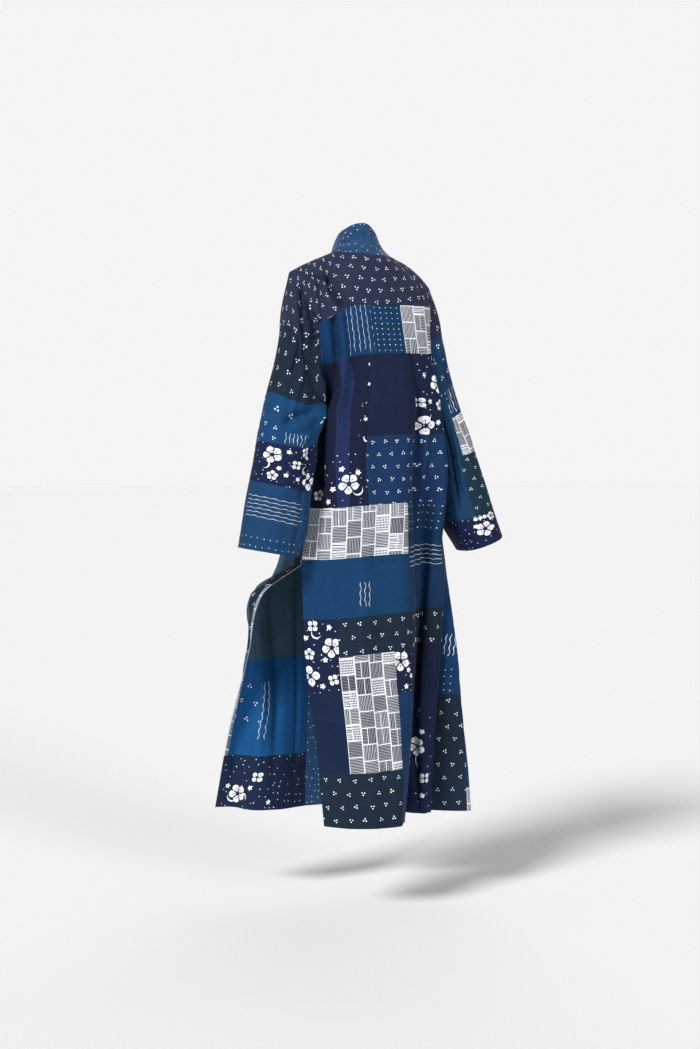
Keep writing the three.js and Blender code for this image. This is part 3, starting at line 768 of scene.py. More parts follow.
# ---------- the yarn and the dye ----------
# Noise is drawn out along each thread: its scale along and across, in one over metres.
THREAD_ALONG, THREAD_ACROSS = 70, 1500
SLUB_ALONG, SLUB_ACROSS = 16, 420
THREAD_TONE, SLUB_TONE = 0.55, 0.28
BROAD_CLOUD, BROAD_TONE = 9.0, 0.34
FINE_CLOUD, FINE_TONE = 60.0, 0.2


def weave(tree, place):
    """Plain weave seen from near: uneven threads both ways, some of them thick."""
    u, v = parts(tree, place)
    weft = cloudy(tree, joined(tree, u * THREAD_ALONG, v * THREAD_ACROSS), 1.0)
    warp = cloudy(tree, joined(tree, u * THREAD_ACROSS, v * THREAD_ALONG), 1.0)
    thick = cloudy(tree, joined(tree, u * SLUB_ALONG, v * SLUB_ACROSS), 1.0, 1.0)
    threads = weft * 0.5 + warp * 0.5
    tone = (threads - 0.5) * THREAD_TONE + (thick - 0.5) * SLUB_TONE + 1
    return {"Height": threads + thick * 0.5, "Tone": tone}


def dye_cloud(tree, object_place):
    """Dye that took a little unevenly, and has faded in broad clouds."""
    broad = cloudy(tree, object_place, BROAD_CLOUD, 3.0)
    fine = cloudy(tree, object_place, FINE_CLOUD, 3.0)
    return {"Tone": (broad - 0.5) * BROAD_TONE + (fine - 0.5) * FINE_TONE + 1}


def linear(colour):
    """A screen colour, 0 to 255, as the shader's linear one."""
    return tuple((c / 255 / 12.92 if c <= 10 else ((c / 255 + 0.055) / 1.055) ** 2.4)
                 for c in colour)


PALE = (246, 249, 253)
LARGE, MEDIUM, STAR = 23, 13.5, 6.5   # radii of the blossoms and stars, in mm
CURL, CURL_SWEEP = 11, 1.7


def blossoms(large=(), medium=(), stars=(), curls=()):
    """Blossoms of two sizes, stars and tendrils at their places in mm, each turned its own way."""
    found = [("blossom", u, v, LARGE, 0.7 * k + 0.2, 5 - k % 2) for k, (u, v) in enumerate(large)]
    found += [("blossom", u, v, MEDIUM, 0.9 * k, 4 + k % 2) for k, (u, v) in enumerate(medium)]
    found += [("star", u, v, STAR, 0.8 * k) for k, (u, v) in enumerate(stars)]
    found += [("curl", u, v, CURL, turn, CURL_SWEEP) for u, v, turn in curls]
    return found


TINY_DOTS = ("sprinkle", 17, 1.1, 4)
SPOTS = (("sprinkle", 30, 5, 3), ("window", -300, 0, 0, 200))
# cloth: ground, motifs, and a second ground with its place. Each motif is its name and numbers; a
# tuple of motifs is one motif kept inside another. "across" before a motif turns it by a quarter.
CLOTHS = {
    "yoke_triple_dots": ((39, 45, 68), [("triple_dots", 28, 26, 1.4, 3.5, 1)]),
    "collar_blue": ((31, 67, 105), [("sprinkle", 14, 0.95, 2)]),
    "blue_plain": ((14, 51, 90), []),
    "blue_long_waves": ((16, 54, 95), [
        (("wavy_lines", 11.2, 0.8, 18, 0.75, 108, 1), ("window", 0, 61, 0, 140))]),
    "blue_small_dots": ((15, 52, 86), [("dot_rows", 13.6, 12, 1.0, 1)]),
    "hatch": ((24, 35, 57), [("across", "hatch_blocks", 2, 0.37)]),
    "hatch_low": ((24, 35, 57), [("across", "hatch_blocks", 5, 0.4)]),
    # Painted shade in part: the dark ground beside the violet band darkens the hollow beside the
    # left underarm, as well as being the cloth's navy; the violet band is the lighter cloth on the
    # ridge.
    "violet_navy_blossoms": ((18, 27, 51), blossoms(
        [(103, 285)], [(40, 262), (22, 300)],
        [(88, 250), (70, 292), (52, 240), (124, 262), (58, 318), (30, 225)], [(122, 300, 2.0)])
        + [("star", 118, 22, 4.6, 0.4), ("star", 124, 66, 4.2, 1.1), ("star", 134, 144, 4.6, 2.0),
           ("curl", 141, 186, 7, 1.0, 1.7),
           (("sprinkle", 14, 1.0, 2), ("window", 122, 140, 30, 210)),
           (("sprinkle", 19, 1.0, 6), ("window", 20, 146, 215, 383))],
        ((30, 44, 84), ("bent_band", 40, 67, 38, 70))),
    "dark_navy_plain": ((21, 31, 57), []),
    "navy_blossoms_blade": ((21, 31, 60), blossoms(
        [(60, 71), (16, 166)], [(4, 113), (56, 121)], [(64, 9), (23, 49), (26, 111), (48, 160)],
        [(34, 150, 0.6)]) + [TINY_DOTS]),
    "indigo_triple_dots": ((21, 48, 86), [("triple_dots", 29, 28, 1.4, 3.0, 3)]),
    "blue_rows_and_waves": ((18, 49, 82), [
        (("dot_rows", 14, 17, 1.0, 3), ("window", -300, 300, 5, 72)),
        (("across", "wavy_lines", 10.6, 0.9, 19, 0.95, 170, 3), ("window", -300, 300, 92, 151))]),
    "blue_three_waves": ((16, 56, 94), [
        (("wavy_lines", 10.5, 1.2, 20, 1.0, 112, 5), ("window", 126, 157, 56, 112))]),
    "navy_blossoms_seat": ((20, 32, 60), blossoms(
        [(64, 63), (9, 126)], [(22, 14), (11, 77), (62, 135)],
        [(60, 18), (4, 41), (47, 90), (35, 149)], [(30, 30, 1.0)]) + [TINY_DOTS]),
    "teal_triple_dots": ((23, 38, 54), [("triple_dots", 34, 30, 1.45, 3.3, 4)]),
    "teal_arm_dots": ((22, 46, 63), [("triple_dots", 34, 30, 1.45, 3.3, 5)]),
    "navy_plain": ((18, 34, 63), []),
    # Painted light: the inside of the held-out left front lies in shade, and this navy is painted
    # lighter to stand in for the light that misses it.
    "navy_front": ((54, 82, 102), []),
    "navy_one_blossom": ((20, 32, 60), blossoms([(13, 23)], [], [(33, 45), (42, 59), (24, 81)])
                         + [TINY_DOTS]),
    "navy_blossoms_fold": ((23, 34, 65), blossoms(
        [(130, 122)], [(153, 194), (60, 90)],
        [(133, 36), (145, 86), (148, 235), (40, 40), (70, 180)])
        + [(("wavy_lines", 17, 3.5, 60, 1.6, 176, 2), ("window", 10, 130, 105, 176)),
           ("sprinkle", 30, 1.1, 9)]),
    "dark_teal_triple_dots": ((22, 38, 55), [("triple_dots", 34, 31, 1.45, 3.3, 6)]),
    "blue_dots_and_strokes": ((18, 63, 105), [
        ("three_dots", 45, 30, 2.1, 4.6, 0.3), ("three_dots", 82, 34, 2.1, 4.6, 2.2),
        ("three_dots", 168, 56, 2.1, 4.6, 0.9), ("three_dots", 20, 66, 1.5, 3.2, 1.5),
        ("three_dots", 50, 73, 1.5, 3.2, 0.5), ("three_dots", 50, 98, 1.5, 3.2, 1.2),
        ("three_dots", 16, 94, 1.5, 3.2, 2.0),
        (("triple_dots", 34, 31, 1.5, 3.4, 7), ("window", -300, 0, 0, 110)),
        (("wavy_lines", 9, 1.1, 18, 1.0, 111, 3), ("window", 75, 129, 78, 112))]),
    "navy_blossoms_arm": ((19, 31, 65), blossoms(
        [(54, 31), (166, 90)], [(113, 49), (62, 89), (135, 12)],
        [(90, 17), (74, 66), (92, 82), (123, 87), (148, 28)], [(150, 60, 0.4), (40, 60, 3.0)])
        + [TINY_DOTS, SPOTS]),
    "blue_cross_waves": ((22, 59, 96), [
        (("across", "wavy_lines", 11.5, 1.0, 22, 1.05, 150, 7), ("window", 4, 150, 32, 103)),
        (("dot_rows", 15, 24, 1.0, 5), ("window", -300, 300, 139, 190))]),
    "teal_blue_dots": ((23, 58, 92), [
        (("triple_dots", 32, 30, 1.5, 3.3, 8), ("window", -300, 300, 10, 84)),
        (("wavy_lines", 11, 1.3, 18, 1.6, 160, 4), ("window", -60, 150, 105, 160))]),
    "teal_blue_plain": ((23, 57, 90), []),
    "navy_blossoms_cuff": ((19, 29, 62), blossoms(
        [(102, 44)], [(110, 2), (73, 12), (20, 50)], [(93, 8), (121, 29), (80, 46), (40, 20)])
        + [TINY_DOTS, SPOTS]),
    "blue_large_dots": ((20, 78, 131), [
        (("triple_dots", 36, 42, 1.9, 4.2, 9), ("window", -20, 70, 60, 170)),
        (("wavy_lines", 11.5, 1.2, 20, 1.1, 200, 6), ("window", 69, 92, 55, 190))]),
    "navy_blossoms_hem": ((24, 38, 66), blossoms(
        [(50, 96)], [(100, 50)], [(22, 79), (88, 77), (138, 110)], [(36, 106, 1.2), (70, 105, 4.4)])
        + [TINY_DOTS]),
    "blue_short_waves": ((18, 53, 91), [
        (("wavy_lines", 11, 1.3, 20, 1.6, 60, 8), ("window", 20, 60, 5, 60)),
        (("dot_rows", 14, 16, 1.0, 8), ("window", 20, 60, 74, 140))]),
    "navy_scattered": ((20, 33, 64), blossoms(
        [(40, 50), (120, 150)], [(100, 60), (50, 140)], [(70, 90), (140, 40), (20, 180), (90, 190)])
        + [TINY_DOTS]),
}
SHEEN = {"collar_blue": 0.3}
CLOTH_SHEEN = 0.03
SHEEN_ROUGHNESS = 0.45
CLOTH_ROUGHNESS = 0.78
CLOTH_SPECULAR = 0.12
BUMP_STRENGTH = 0.35
BUMP_HEIGHT = 0.0004
WORN_SCALE, WORN_LEAST, WORN_SPAN = 240.0, 0.8, 0.4   # how the pale dye has worn


def drawn(tree, place, sideways, what):
    """The mask of one entry of a cloth's table."""
    if isinstance(what[0], tuple):
        mask = drawn(tree, place, sideways, what[0])
        for other in what[1:]:
            mask = mask * drawn(tree, place, sideways, other)
        return mask
    if what[0] == "across":
        return motif(tree, sideways, *what[1:])
    return motif(tree, place, *what)


def new_material(name):
    made = bpy.data.materials.new(name)
    made.use_nodes = True
    return made, made.node_tree, made.node_tree.nodes["Principled BSDF"]


def blended(tree, mask, first, second):
    """A colour between two, each a screen colour or a socket."""
    blend = tree.nodes.new("ShaderNodeMix")
    blend.data_type = "RGBA"
    tree.links.new(mask.socket, blend.inputs["Factor"])
    for label, colour in (("A", first), ("B", second)):
        if isinstance(colour, tuple):
            blend.inputs[label].default_value = (*linear(colour), 1)
        else:
            tree.links.new(colour, blend.inputs[label])
    return blend.outputs["Result"]


def add_relief(tree, shader, height):
    bump = tree.nodes.new("ShaderNodeBump")
    bump.inputs["Strength"].default_value = BUMP_STRENGTH
    bump.inputs["Distance"].default_value = BUMP_HEIGHT
    tree.links.new(height, bump.inputs["Height"])
    tree.links.new(bump.outputs[0], shader.inputs["Normal"])


def cloth_material(name):
    """A dyed cloth of the table: its ground, then its motifs in pale dye, on the weave."""
    found = bpy.data.materials.get(name)
    if found is not None:
        return found
    found, tree, shader = new_material(name)
    ground, motifs, *second = CLOTHS[name]
    own_map = tree.nodes.new("ShaderNodeUVMap")
    own_map.uv_map = "Cloth"
    place = own_map.outputs["UV"]
    u, v = parts(tree, place)
    sideways = joined(tree, v, u)
    body = tree.nodes.new("ShaderNodeTexCoord").outputs["Object"]
    yarn = group_on(tree, place, "weave", {}, weave)
    cloud = group_on(tree, body, "dye_cloud", {}, dye_cloud)
    tone = Num(yarn.outputs["Tone"]) * Num(cloud.outputs["Tone"])

    toned = tree.nodes.new("ShaderNodeVectorMath")
    toned.operation = "SCALE"
    toned.inputs[0].default_value = linear(ground)
    for other_ground, where in second:
        dyed = blended(tree, drawn(tree, place, sideways, where), ground, other_ground)
        tree.links.new(dyed, toned.inputs[0])
    tree.links.new(tone.socket, toned.inputs["Scale"])
    colour = toned.outputs[0]
    masks = [drawn(tree, place, sideways, what) for what in motifs]
    if masks:
        mask = masks[0]
        for other in masks[1:]:
            mask = mask.calc("MAXIMUM", other)
        worn = cloudy(tree, body, WORN_SCALE) * WORN_SPAN + WORN_LEAST
        colour = blended(tree, mask * worn.clamped(), colour, PALE)
    tree.links.new(colour, shader.inputs["Base Color"])
    shader.inputs["Roughness"].default_value = CLOTH_ROUGHNESS
    shader.inputs["Sheen Weight"].default_value = SHEEN.get(name, CLOTH_SHEEN)
    shader.inputs["Sheen Roughness"].default_value = SHEEN_ROUGHNESS
    shader.inputs["Specular IOR Level"].default_value = CLOTH_SPECULAR
    add_relief(tree, shader, yarn.outputs["Height"])
    return found


# The pale rim of the cut edges is painted highlight where the edges catch light, over their yarn.
EDGE_HIGHLIGHT_DARK, EDGE_HIGHLIGHT_PALE = (70, 92, 124), (176, 190, 208)
EDGE_HIGHLIGHT_SCALE = 300.0


def edge_highlight_material():
    """The cut edge of the cloth, painted pale as a highlight where it catches light, over its yarn.
    """
    found = bpy.data.materials.get("cloth_edge_highlight")
    if found is not None:
        return found
    found, tree, shader = new_material("cloth_edge_highlight")
    body = tree.nodes.new("ShaderNodeTexCoord").outputs["Object"]
    colour = blended(tree, cloudy(tree, body, EDGE_HIGHLIGHT_SCALE), EDGE_HIGHLIGHT_DARK, EDGE_HIGHLIGHT_PALE)
    tree.links.new(colour, shader.inputs["Base Color"])
    shader.inputs["Roughness"].default_value = CLOTH_ROUGHNESS
    return found


# ---------- creases: soft troughs and ridges ----------
# from (across, down), to (across, down), half width in mm, depth in mm (a ridge is negative), bow
# in mm to one side
BACK_CREASES = (
    # the soft ridge that falls from the yoke beside the left underarm, and the hollows beside it
    (0.175, -0.2, 0.19, 0.5, 10, -6, 0),
    (0.115, -0.16, 0.09, 0.44, 11, 17, 3),
    (0.055, 0.06, 0.065, 0.48, 17, 20, 0),
    (0.005, -0.1, 0.025, 0.36, 6, -6, -3),
    (0.25, 0.02, 0.27, 0.46, 13, 5, 2),
    (0.23, -0.08, 0.25, 0.2, 8, 3, 0),
    (0.36, 0.03, 0.4, 0.3, 18, -2.2, 0),
    # long soft falls down the middle
    (0.33, 0.34, 0.3, 0.8, 20, -2.4, 8),
    (0.43, 0.2, 0.45, 0.62, 16, 2.2, -6),
    (0.52, 0.3, 0.51, 0.9, 17, -2.6, 4),
    (0.24, 0.6, 0.22, 1.04, 15, 2.6, 5),
    (0.39, 0.66, 0.37, 1.04, 17, 2.2, -5),
    (0.12, 0.56, 0.1, 1.04, 12, 3.0, 4),
    (0.05, 0.6, 0.045, 1.04, 9, -3.2, 0),
    # the brow, the valley and the ridge of the deep fold
    (0.6, 0.06, 0.585, 0.5, 15, -3, 0),
    (0.7, 0.02, 0.75, 0.94, 11, 18, 0),
    (0.8, 0.6, 0.94, 1.12, 10, 9, 0),
    (0.88, 0.08, 0.9, 0.96, 13, -12, 0),
    (0.8, 0.3, 0.83, 0.62, 4, 2.5, 0),
    # short drags across the waist and the seat
    (0.32, 0.575, 0.55, 0.562, 5, 1.8, 8),
    (0.28, 0.6, 0.5, 0.592, 4, -1.4, -6),
    (0.12, 0.548, 0.33, 0.56, 5, 1.6, 4),
    (0.4, 0.61, 0.58, 0.585, 4, 1.3, 5),
    (0.05, 0.45, 0.22, 0.475, 6, 1.4, 6),
    (0.22, 0.13, 0.5, 0.16, 6, 0.8, 5),
    (0.45, 0.05, 0.62, 0.09, 6, 0.9, -4),
    (0.3, 0.84, 0.5, 0.855, 6, 0.9, 6),
    (0.1, 0.8, 0.28, 0.83, 6, -0.8, -6),
)
FRONT_CREASES = (
    (0.12, 0.12, 0.16, 0.62, 9, 4.5, 4),
    (0.22, 0.05, 0.26, 0.5, 10, -3.5, 0),
    (0.46, 0.02, 0.42, 0.6, 11, 3.2, -4),
    (0.6, 0.2, 0.58, 1.04, 11, -3.4, 5),
    (0.78, 0.1, 0.8, 0.9, 10, 2.6, 0),
    (0.86, 0.4, 0.84, 1.04, 8, -2.4, 3),
    (0.28, 0.62, 0.24, 1.04, 9, 4, -4),
    (0.1, 0.68, 0.12, 1.04, 7, -3, 3),
    (0.4, 0.74, 0.44, 1.04, 8, 3.4, 3),
    (0.02, 0.27, 0.3, 0.31, 6, 1.8, 6),
    (0.1, 0.4, 0.42, 0.42, 6, 1.2, -5),
    (0.3, 0.86, 0.6, 0.87, 6, 1.0, 5),
)
# The left front is gathered where it is held, so creases fan down and across from that place.
HELD_CREASES = FRONT_CREASES + (
    (0.03, 0.6, 0.34, 0.78, 7, 4, 6),
    (0.02, 0.62, 0.2, 0.9, 6, -3.4, 5),
    (0.06, 0.58, 0.55, 0.66, 6, 3.4, -6),
    (0.1, 0.56, 0.5, 0.52, 6, -2.6, 5),
)
YOKE_CREASES = (
    # three folds that drag from the left shoulder down towards the underarm, and their ridges
    (0.12, 0.36, 0.335, 1.12, 4.8, 18, 8),
    (0.08, 0.95, 0.195, 0.34, 4, 10, 0),
    (0.11, 0.66, 0.215, 1.16, 8, -8, 0),
    (0.19, 0.75, 0.26, 1.14, 5, 4, 0),
    (0.33, 0.5, 0.46, 0.92, 10, 1.6, 3),
    (0.55, 0.3, 0.6, 0.95, 12, 1.4, 0),
    (0.84, 0.35, 0.74, 1.02, 6, 3.4, 5),
    (0.87, 0.5, 0.8, 1.05, 6, -2.8, 4),
    (0.66, 0.55, 0.72, 1.0, 8, 1.6, 3),
)
COLLAR_CREASES = (
    (0.2, 0.42, 0.46, 0.56, 5, 3.6, 3),
    (0.22, 0.26, 0.42, 0.22, 5, -2.6, 2),
    (0.3, 0.8, 0.47, 0.7, 5, -2.4, -3),
    (0.28, 0.62, 0.4, 0.6, 4, 1.8, 2),
    (0.46, 0.0, 0.47, 1.0, 5, 3.6, 2),
    (0.5, 0.05, 0.51, 1.0, 7, -3, 0),
    (0.55, 0.2, 0.7, 0.6, 6, 2.4, 3),
    (0.08, 0.2, 0.2, 0.7, 5, 2, 2),
    (0.74, 0.3, 0.88, 0.7, 5, 2, -3),
)
BAND_CREASES = (
    (0.3, 0.12, 0.4, 0.4, 6, 1.2, 4),
    (0.6, 0.5, 0.5, 0.85, 6, -1.2, 4),
)
LEFT_SLEEVE_CREASES = (
    # drags from the armhole down and out over the upper arm
    (0.02, -0.03, 0.27, 0.09, 4.8, 18, -5),
    (0.05, -0.006, 0.3, 0.04, 4.4, 15, 0),
    (0.02, 0.0, 0.22, 0.105, 6, -5, -6),
    # the sleeve bulges over the back beside the underarm
    (0.4, -0.1, 0.42, 0.45, 30, -36, 0),
    (0.2, 0.05, 0.13, 0.3, 7, 6, 6),
    (0.235, 0.1, 0.2, 0.42, 7, -4.5, 5),
    (0.1, 0.04, 0.07, 0.26, 6, 3.6, 4),
    # the bend of the elbow and the hollows that run to it from the underarm
    (0.37, 0.23, 0.14, 0.46, 12, 16, 6),
    (0.4, 0.34, 0.2, 0.53, 9, -6, 7),
    (0.4, 0.5, 0.24, 0.58, 7, 4.5, 6),
    (0.36, 0.3, 0.2, 0.36, 7, -3.5, 5),
    (0.44, 0.56, 0.3, 0.74, 7, 3.5, 5),
    # long falls to the cuff
    (0.31, 0.5, 0.33, 1.05, 9, 5, 4),
    (0.24, 0.56, 0.24, 1.05, 10, -2.6, -3),
    (0.12, 0.56, 0.13, 1.05, 12, 2.2, 3),
    (0.42, 0.62, 0.41, 1.05, 8, -3.5, 0),
    (-0.1, 0.2, -0.06, 0.7, 11, 3, 4),
    (-0.2, 0.3, -0.16, 0.95, 10, -3, -4),
    (-0.3, 0.36, -0.1, 0.5, 8, 4, 6),
    (0.55, 0.5, 0.56, 1.0, 9, 3, 0),
)
RIGHT_SLEEVE_CREASES = (
    (0.245, 0.26, 0.29, 0.82, 7, -5, 4),
    (0.32, 0.3, 0.35, 0.9, 9, 4.5, 4),
    (0.17, 0.3, 0.2, 0.95, 9, 2.4, -3),
    (0.08, 0.2, 0.1, 0.6, 9, -2.6, 3),
    (0.42, 0.5, 0.24, 0.56, 8, 3.6, 6),
    (0.4, 0.6, 0.26, 0.68, 7, -2.6, 5),
    (0.2, 0.08, 0.14, 0.3, 7, 4, 5),
    (0.02, 0.06, -0.04, 0.28, 7, 3.4, 4),
    (-0.12, 0.3, -0.1, 0.9, 10, 3, 4),
    (-0.24, 0.4, -0.2, 0.98, 10, -3, -4),
    (-0.3, 0.36, -0.1, 0.48, 8, 4, 6),
    (0.5, 0.5, 0.52, 1.0, 9, -3, 0),
)
SHADOW_SIDE = 1.7              # a crease is lifted on one side, this many half widths away
SHADOW_LIFT = 0.4
CREASE_REACH = 4               # a crease is felt this many half widths away


def crease_depth(creases, across, down, width, length):
    """How far the cloth lies in at a place, with every crease soft at its two ends."""
    total = 0.0
    for x0, y0, x1, y1, half, depth, bow in creases:
        run = Vector(((x1 - x0) * width, (y1 - y0) * length))
        here = Vector(((across - x0) * width, (down - y0) * length))
        along = here.dot(run) / run.length_squared
        if not 0 < along < 1:
            continue
        off = (here.x * run.y - here.y * run.x) / run.length - bow * 4 * along * (1 - along)
        if abs(off) > CREASE_REACH * half:
            continue
        fade = smooth(along * 3) * smooth((1 - along) * 3)
        trough = math.exp(-(off / half) ** 2)
        lift = SHADOW_LIFT * math.exp(-(off / half - SHADOW_SIDE) ** 2)
        total += depth * fade * (trough - lift)
    return total


def fold_depth(folds, across, down):
    """How far in the large folds of the form lie, fading at both ends of each."""
    total = 0.0
    for at, lean, half, depth, start, end in folds:
        off = (across - at - lean * (down - start)) / half
        run = (down - start) / (end - start)
        fade = smooth(run * 2) if end >= 1 else smooth(run * 3) * smooth((1 - run) * 3)
        total += depth * fade * math.exp(-off * off)
    return total


# The print's rows hang a little lower towards the left edge of the back.
TILT = 0.011
TILT_REACH = 0.6
BACK_ROWS = 300                # the form is read at this many heights, and between them in a line


def tilted_back(across, down):
    """A point of the back for a place in its print."""
    ease = smooth(down * 6) * smooth((1 - down) * 6)
    row = (down + TILT * ease * (1 - smooth(across / TILT_REACH))) * BACK_ROWS
    above = min(BACK_ROWS - 1, math.floor(row))
    return mix_points(back_point(across, above / BACK_ROWS),
                      back_point(across, (above + 1) / BACK_ROWS), row - above)


# A sleeve is cut with a curved head: the share of its length that the armhole takes away.
HEAD_DEPTH = 0.36
HEAD_POWER = 1.3
HEAD_EASE = 5
WRAP = -0.35                   # a sleeve's cut starts here, on the hidden front of the arm


def head_of(share):
    """How far down its length a sleeve's cut starts, at a share of the way round."""
    return HEAD_DEPTH * ((1 - math.cos(2 * math.pi * share)) / 2) ** HEAD_POWER


def form_down(share, down, heads):
    """Where on its form a row of the flat cut lies: a sleeve's rows lie square to the arm."""
    if not heads:
        return down
    head = head_of(share)
    return 0.0 if down <= head else down - head * ((1 - down) / (1 - head)) ** HEAD_EASE


# ---------- cutting a piece ----------
WALL = 0.0012                  # of the cloth as it is seen
STEP = 3.6                     # of the net, in mm
FOLD_REACH = 8                 # one over the share in which large folds fade at a side edge
TOP_FOLD_REACH = 4             # and at the top edge
EDGE_EASE = 8                  # creases fade this near to a top seam, in mm
SIDE_EASE = 30                 # one over the share in which creases fade at a side edge
SIDE_LEAST = 0.15              # what is left of them there
TOP_LEAST = 0.05
SEAM_GROOVE = 0.5              # the cloth lies in along the seams between patches
UNEVEN = ((11, 1.3), (26, 0.55), (60, 0.22))   # cloth is never quite flat: waves per metre, mm


def snapped(first, last, step_share, marks):
    """Evenly spaced lines from first to last, the nearest of them moved onto each mark."""
    count = round((last - first) / step_share)
    lines = [mix(first, last, k / count) for k in range(count + 1)]
    taken = {0, count}
    for mark in sorted(set(marks)):
        if not first + 1e-6 < mark < last - 1e-6:
            continue
        nearest = min((k for k in range(count + 1) if k not in taken),
                      key=lambda k: abs(lines[k] - mark))
        lines[nearest] = mark
        taken.add(nearest)
    return sorted(lines)


def patch_at(patches, across, down):
    """The last patch of the table that covers a place."""
    found = None
    for patch in patches:
        if patch[1] <= across <= patch[2] and patch[3] <= down <= patch[4]:
            found = patch
    return found


def runs_of(plain, rows, length, heads):
    """The way along the cloth to each point of the net, across and down, in metres."""
    columns = range(len(plain[0]))
    run_across = []
    for row in plain:
        run = [0.0]
        for p, q in zip(row, row[1:]):
            run.append(run[-1] + (q - p).length)
        run_across.append(run)
    run_down = [[0.0] * len(columns)]
    for j in range(1, len(rows)):
        if heads:
            run_down.append([rows[j] * length * MM for _ in columns])
        else:
            run_down.append([run_down[-1][i] + (plain[j][i] - plain[j - 1][i]).length
                             for i in columns])
    return run_across, run_down


def lay_patches(cut, columns, rows, patches, runs, closed, centred):
    """Gives each face its patch's cloth and print, and returns the cloths in slot order."""
    wide = len(columns)
    run_across, run_down = runs
    cloth = cut.loops.layers.uv.new("Cloth")
    slots = {}
    starts = [(bisect.bisect_left(columns, (0.0 if closed else patch[1]) - TINY),
               bisect.bisect_left(rows, patch[3] - TINY)) for patch in patches]
    for face in cut.faces:
        corners = [(vert.index % wide, vert.index // wide) for vert in face.verts]
        middle_across = sum(columns[i] for i, _ in corners) / 4
        middle_down = sum(rows[j] for _, j in corners) / 4
        patch = patch_at(patches, middle_across, middle_down)
        face.material_index = slots.setdefault(patch[0], len(slots))
        face.smooth = True
        start_column, start_row = (wide // 2, 0) if centred else starts[patches.index(patch)]
        for loop in face.loops:
            i, j = loop.vert.index % wide, loop.vert.index // wide
            loop[cloth].uv = (run_across[j][i] - run_across[j][start_column],
                              run_down[j][i] - run_down[start_row][i])
    return list(slots)


def seam_verts(cut):
    """The points along the seams between two patches."""
    return {vert.index for edge in cut.edges if len(edge.link_faces) == 2
            and edge.link_faces[0].material_index != edge.link_faces[1].material_index
            for vert in edge.verts}


def walled(cut, name, cloths, edged):
    """The object of a finished cut, in its cloths and with its thin wall."""
    mesh = bpy.data.meshes.new(name)
    cut.to_mesh(mesh)
    cut.free()
    piece = bpy.data.objects.new(name, mesh)
    bpy.context.scene.collection.objects.link(piece)
    for cloth in cloths:
        mesh.materials.append(cloth_material(cloth))
    wall = piece.modifiers.new("Wall", "SOLIDIFY")
    wall.thickness = WALL
    wall.offset = 0
    # the rim takes the painted highlight of the cut edge
    if edged:
        mesh.materials.append(edge_highlight_material())
        wall.material_offset_rim = len(mesh.materials)
    return piece


def cut_piece(name, surface, facing, width, length, patches, creases, folds=(), first=0.0,
              closed=False, step=STEP, heads=False, centred=False, edged=False):
    """A piece of cloth and its area: width and length are its cut size in mm. A closed piece is a
    tube. The print of a centred piece is measured from its middle. A piece with highlit edges has
    them painted pale, a painted highlight over their yarn. Faces end up turned away from the
    wearer."""
    marks_across = [edge for patch in patches for edge in patch[1:3]]
    marks_down = [edge for patch in patches for edge in patch[3:5]]
    columns = snapped(first, first + 1, step / width, marks_across)
    rows = snapped(0, 1, step / length, marks_down)
    wide, high = len(columns), len(rows)
    plain = [[Vector(surface(across, form_down(across, down, heads))) * MM for across in columns]
             for down in rows]

    def inward(i, j):
        left, right = max(0, i - 1), min(wide - 1, i + 1)
        if closed and i in (0, wide - 1):
            left, right = wide - 2, 1
        up, low = max(0, j - 1), min(high - 1, j + 1)
        if heads:
            while low < high - 1 and rows[low] <= head_of(columns[i]) + 2 * step / length:
                low += 1
        over = plain[j][right] - plain[j][left]
        return over.cross(plain[low][i] - plain[up][i]).normalized() * facing

    cut = bmesh.new()
    bmesh.ops.create_grid(cut, x_segments=wide - 1, y_segments=high - 1, size=0.5)
    cut.verts.ensure_lookup_table()
    runs = runs_of(plain, rows, length, heads)
    cloths = lay_patches(cut, columns, rows, patches, runs, closed, centred)

    own_noise = Vector((0, 0, len(name)))
    grooves = seam_verts(cut)
    moves = []
    for vert in cut.verts:
        i, j = vert.index % wide, vert.index // wide
        across, down = columns[i], form_down(columns[i], rows[j], heads)
        share = across - first
        around = across % 1.0 if closed else share
        fold_ease, ease = 1.0, 1.0
        if not closed:
            fold_ease = smooth(share * FOLD_REACH) * smooth((1 - share) * FOLD_REACH)
            ease = (smooth(share * SIDE_EASE + SIDE_LEAST)
                    * smooth((1 - share) * SIDE_EASE + SIDE_LEAST))
        top_ease = smooth(down * length / EDGE_EASE + TOP_LEAST)
        depth = fold_ease * smooth(down * TOP_FOLD_REACH) * fold_depth(folds, around, down)
        depth += ease * top_ease * crease_depth(creases, across, down, width, length)
        for waves, height in UNEVEN:
            depth += ease * top_ease * height * noise.noise(plain[j][i] * waves + own_noise)
        if vert.index in grooves:
            depth += SEAM_GROOVE
        moves.append(plain[j][i] + inward(i, j) * depth * MM)
    for vert, place in zip(cut.verts, moves):
        vert.co = place
    if closed:
        bmesh.ops.remove_doubles(cut, verts=cut.verts, dist=1e-5)
    cut.normal_update()
    cut.faces.ensure_lookup_table()
    probe = cut.faces[len(cut.faces) // 2]
    middle = probe.calc_center_median()
    column = min(range(wide), key=lambda i: (plain[high // 2][i] - middle).length)
    if probe.normal.dot(inward(column, high // 2)) > 0:
        bmesh.ops.reverse_faces(cut, faces=cut.faces)
    area = sum(face.calc_area() for face in cut.faces)
    return walled(cut, name, cloths, edged), area


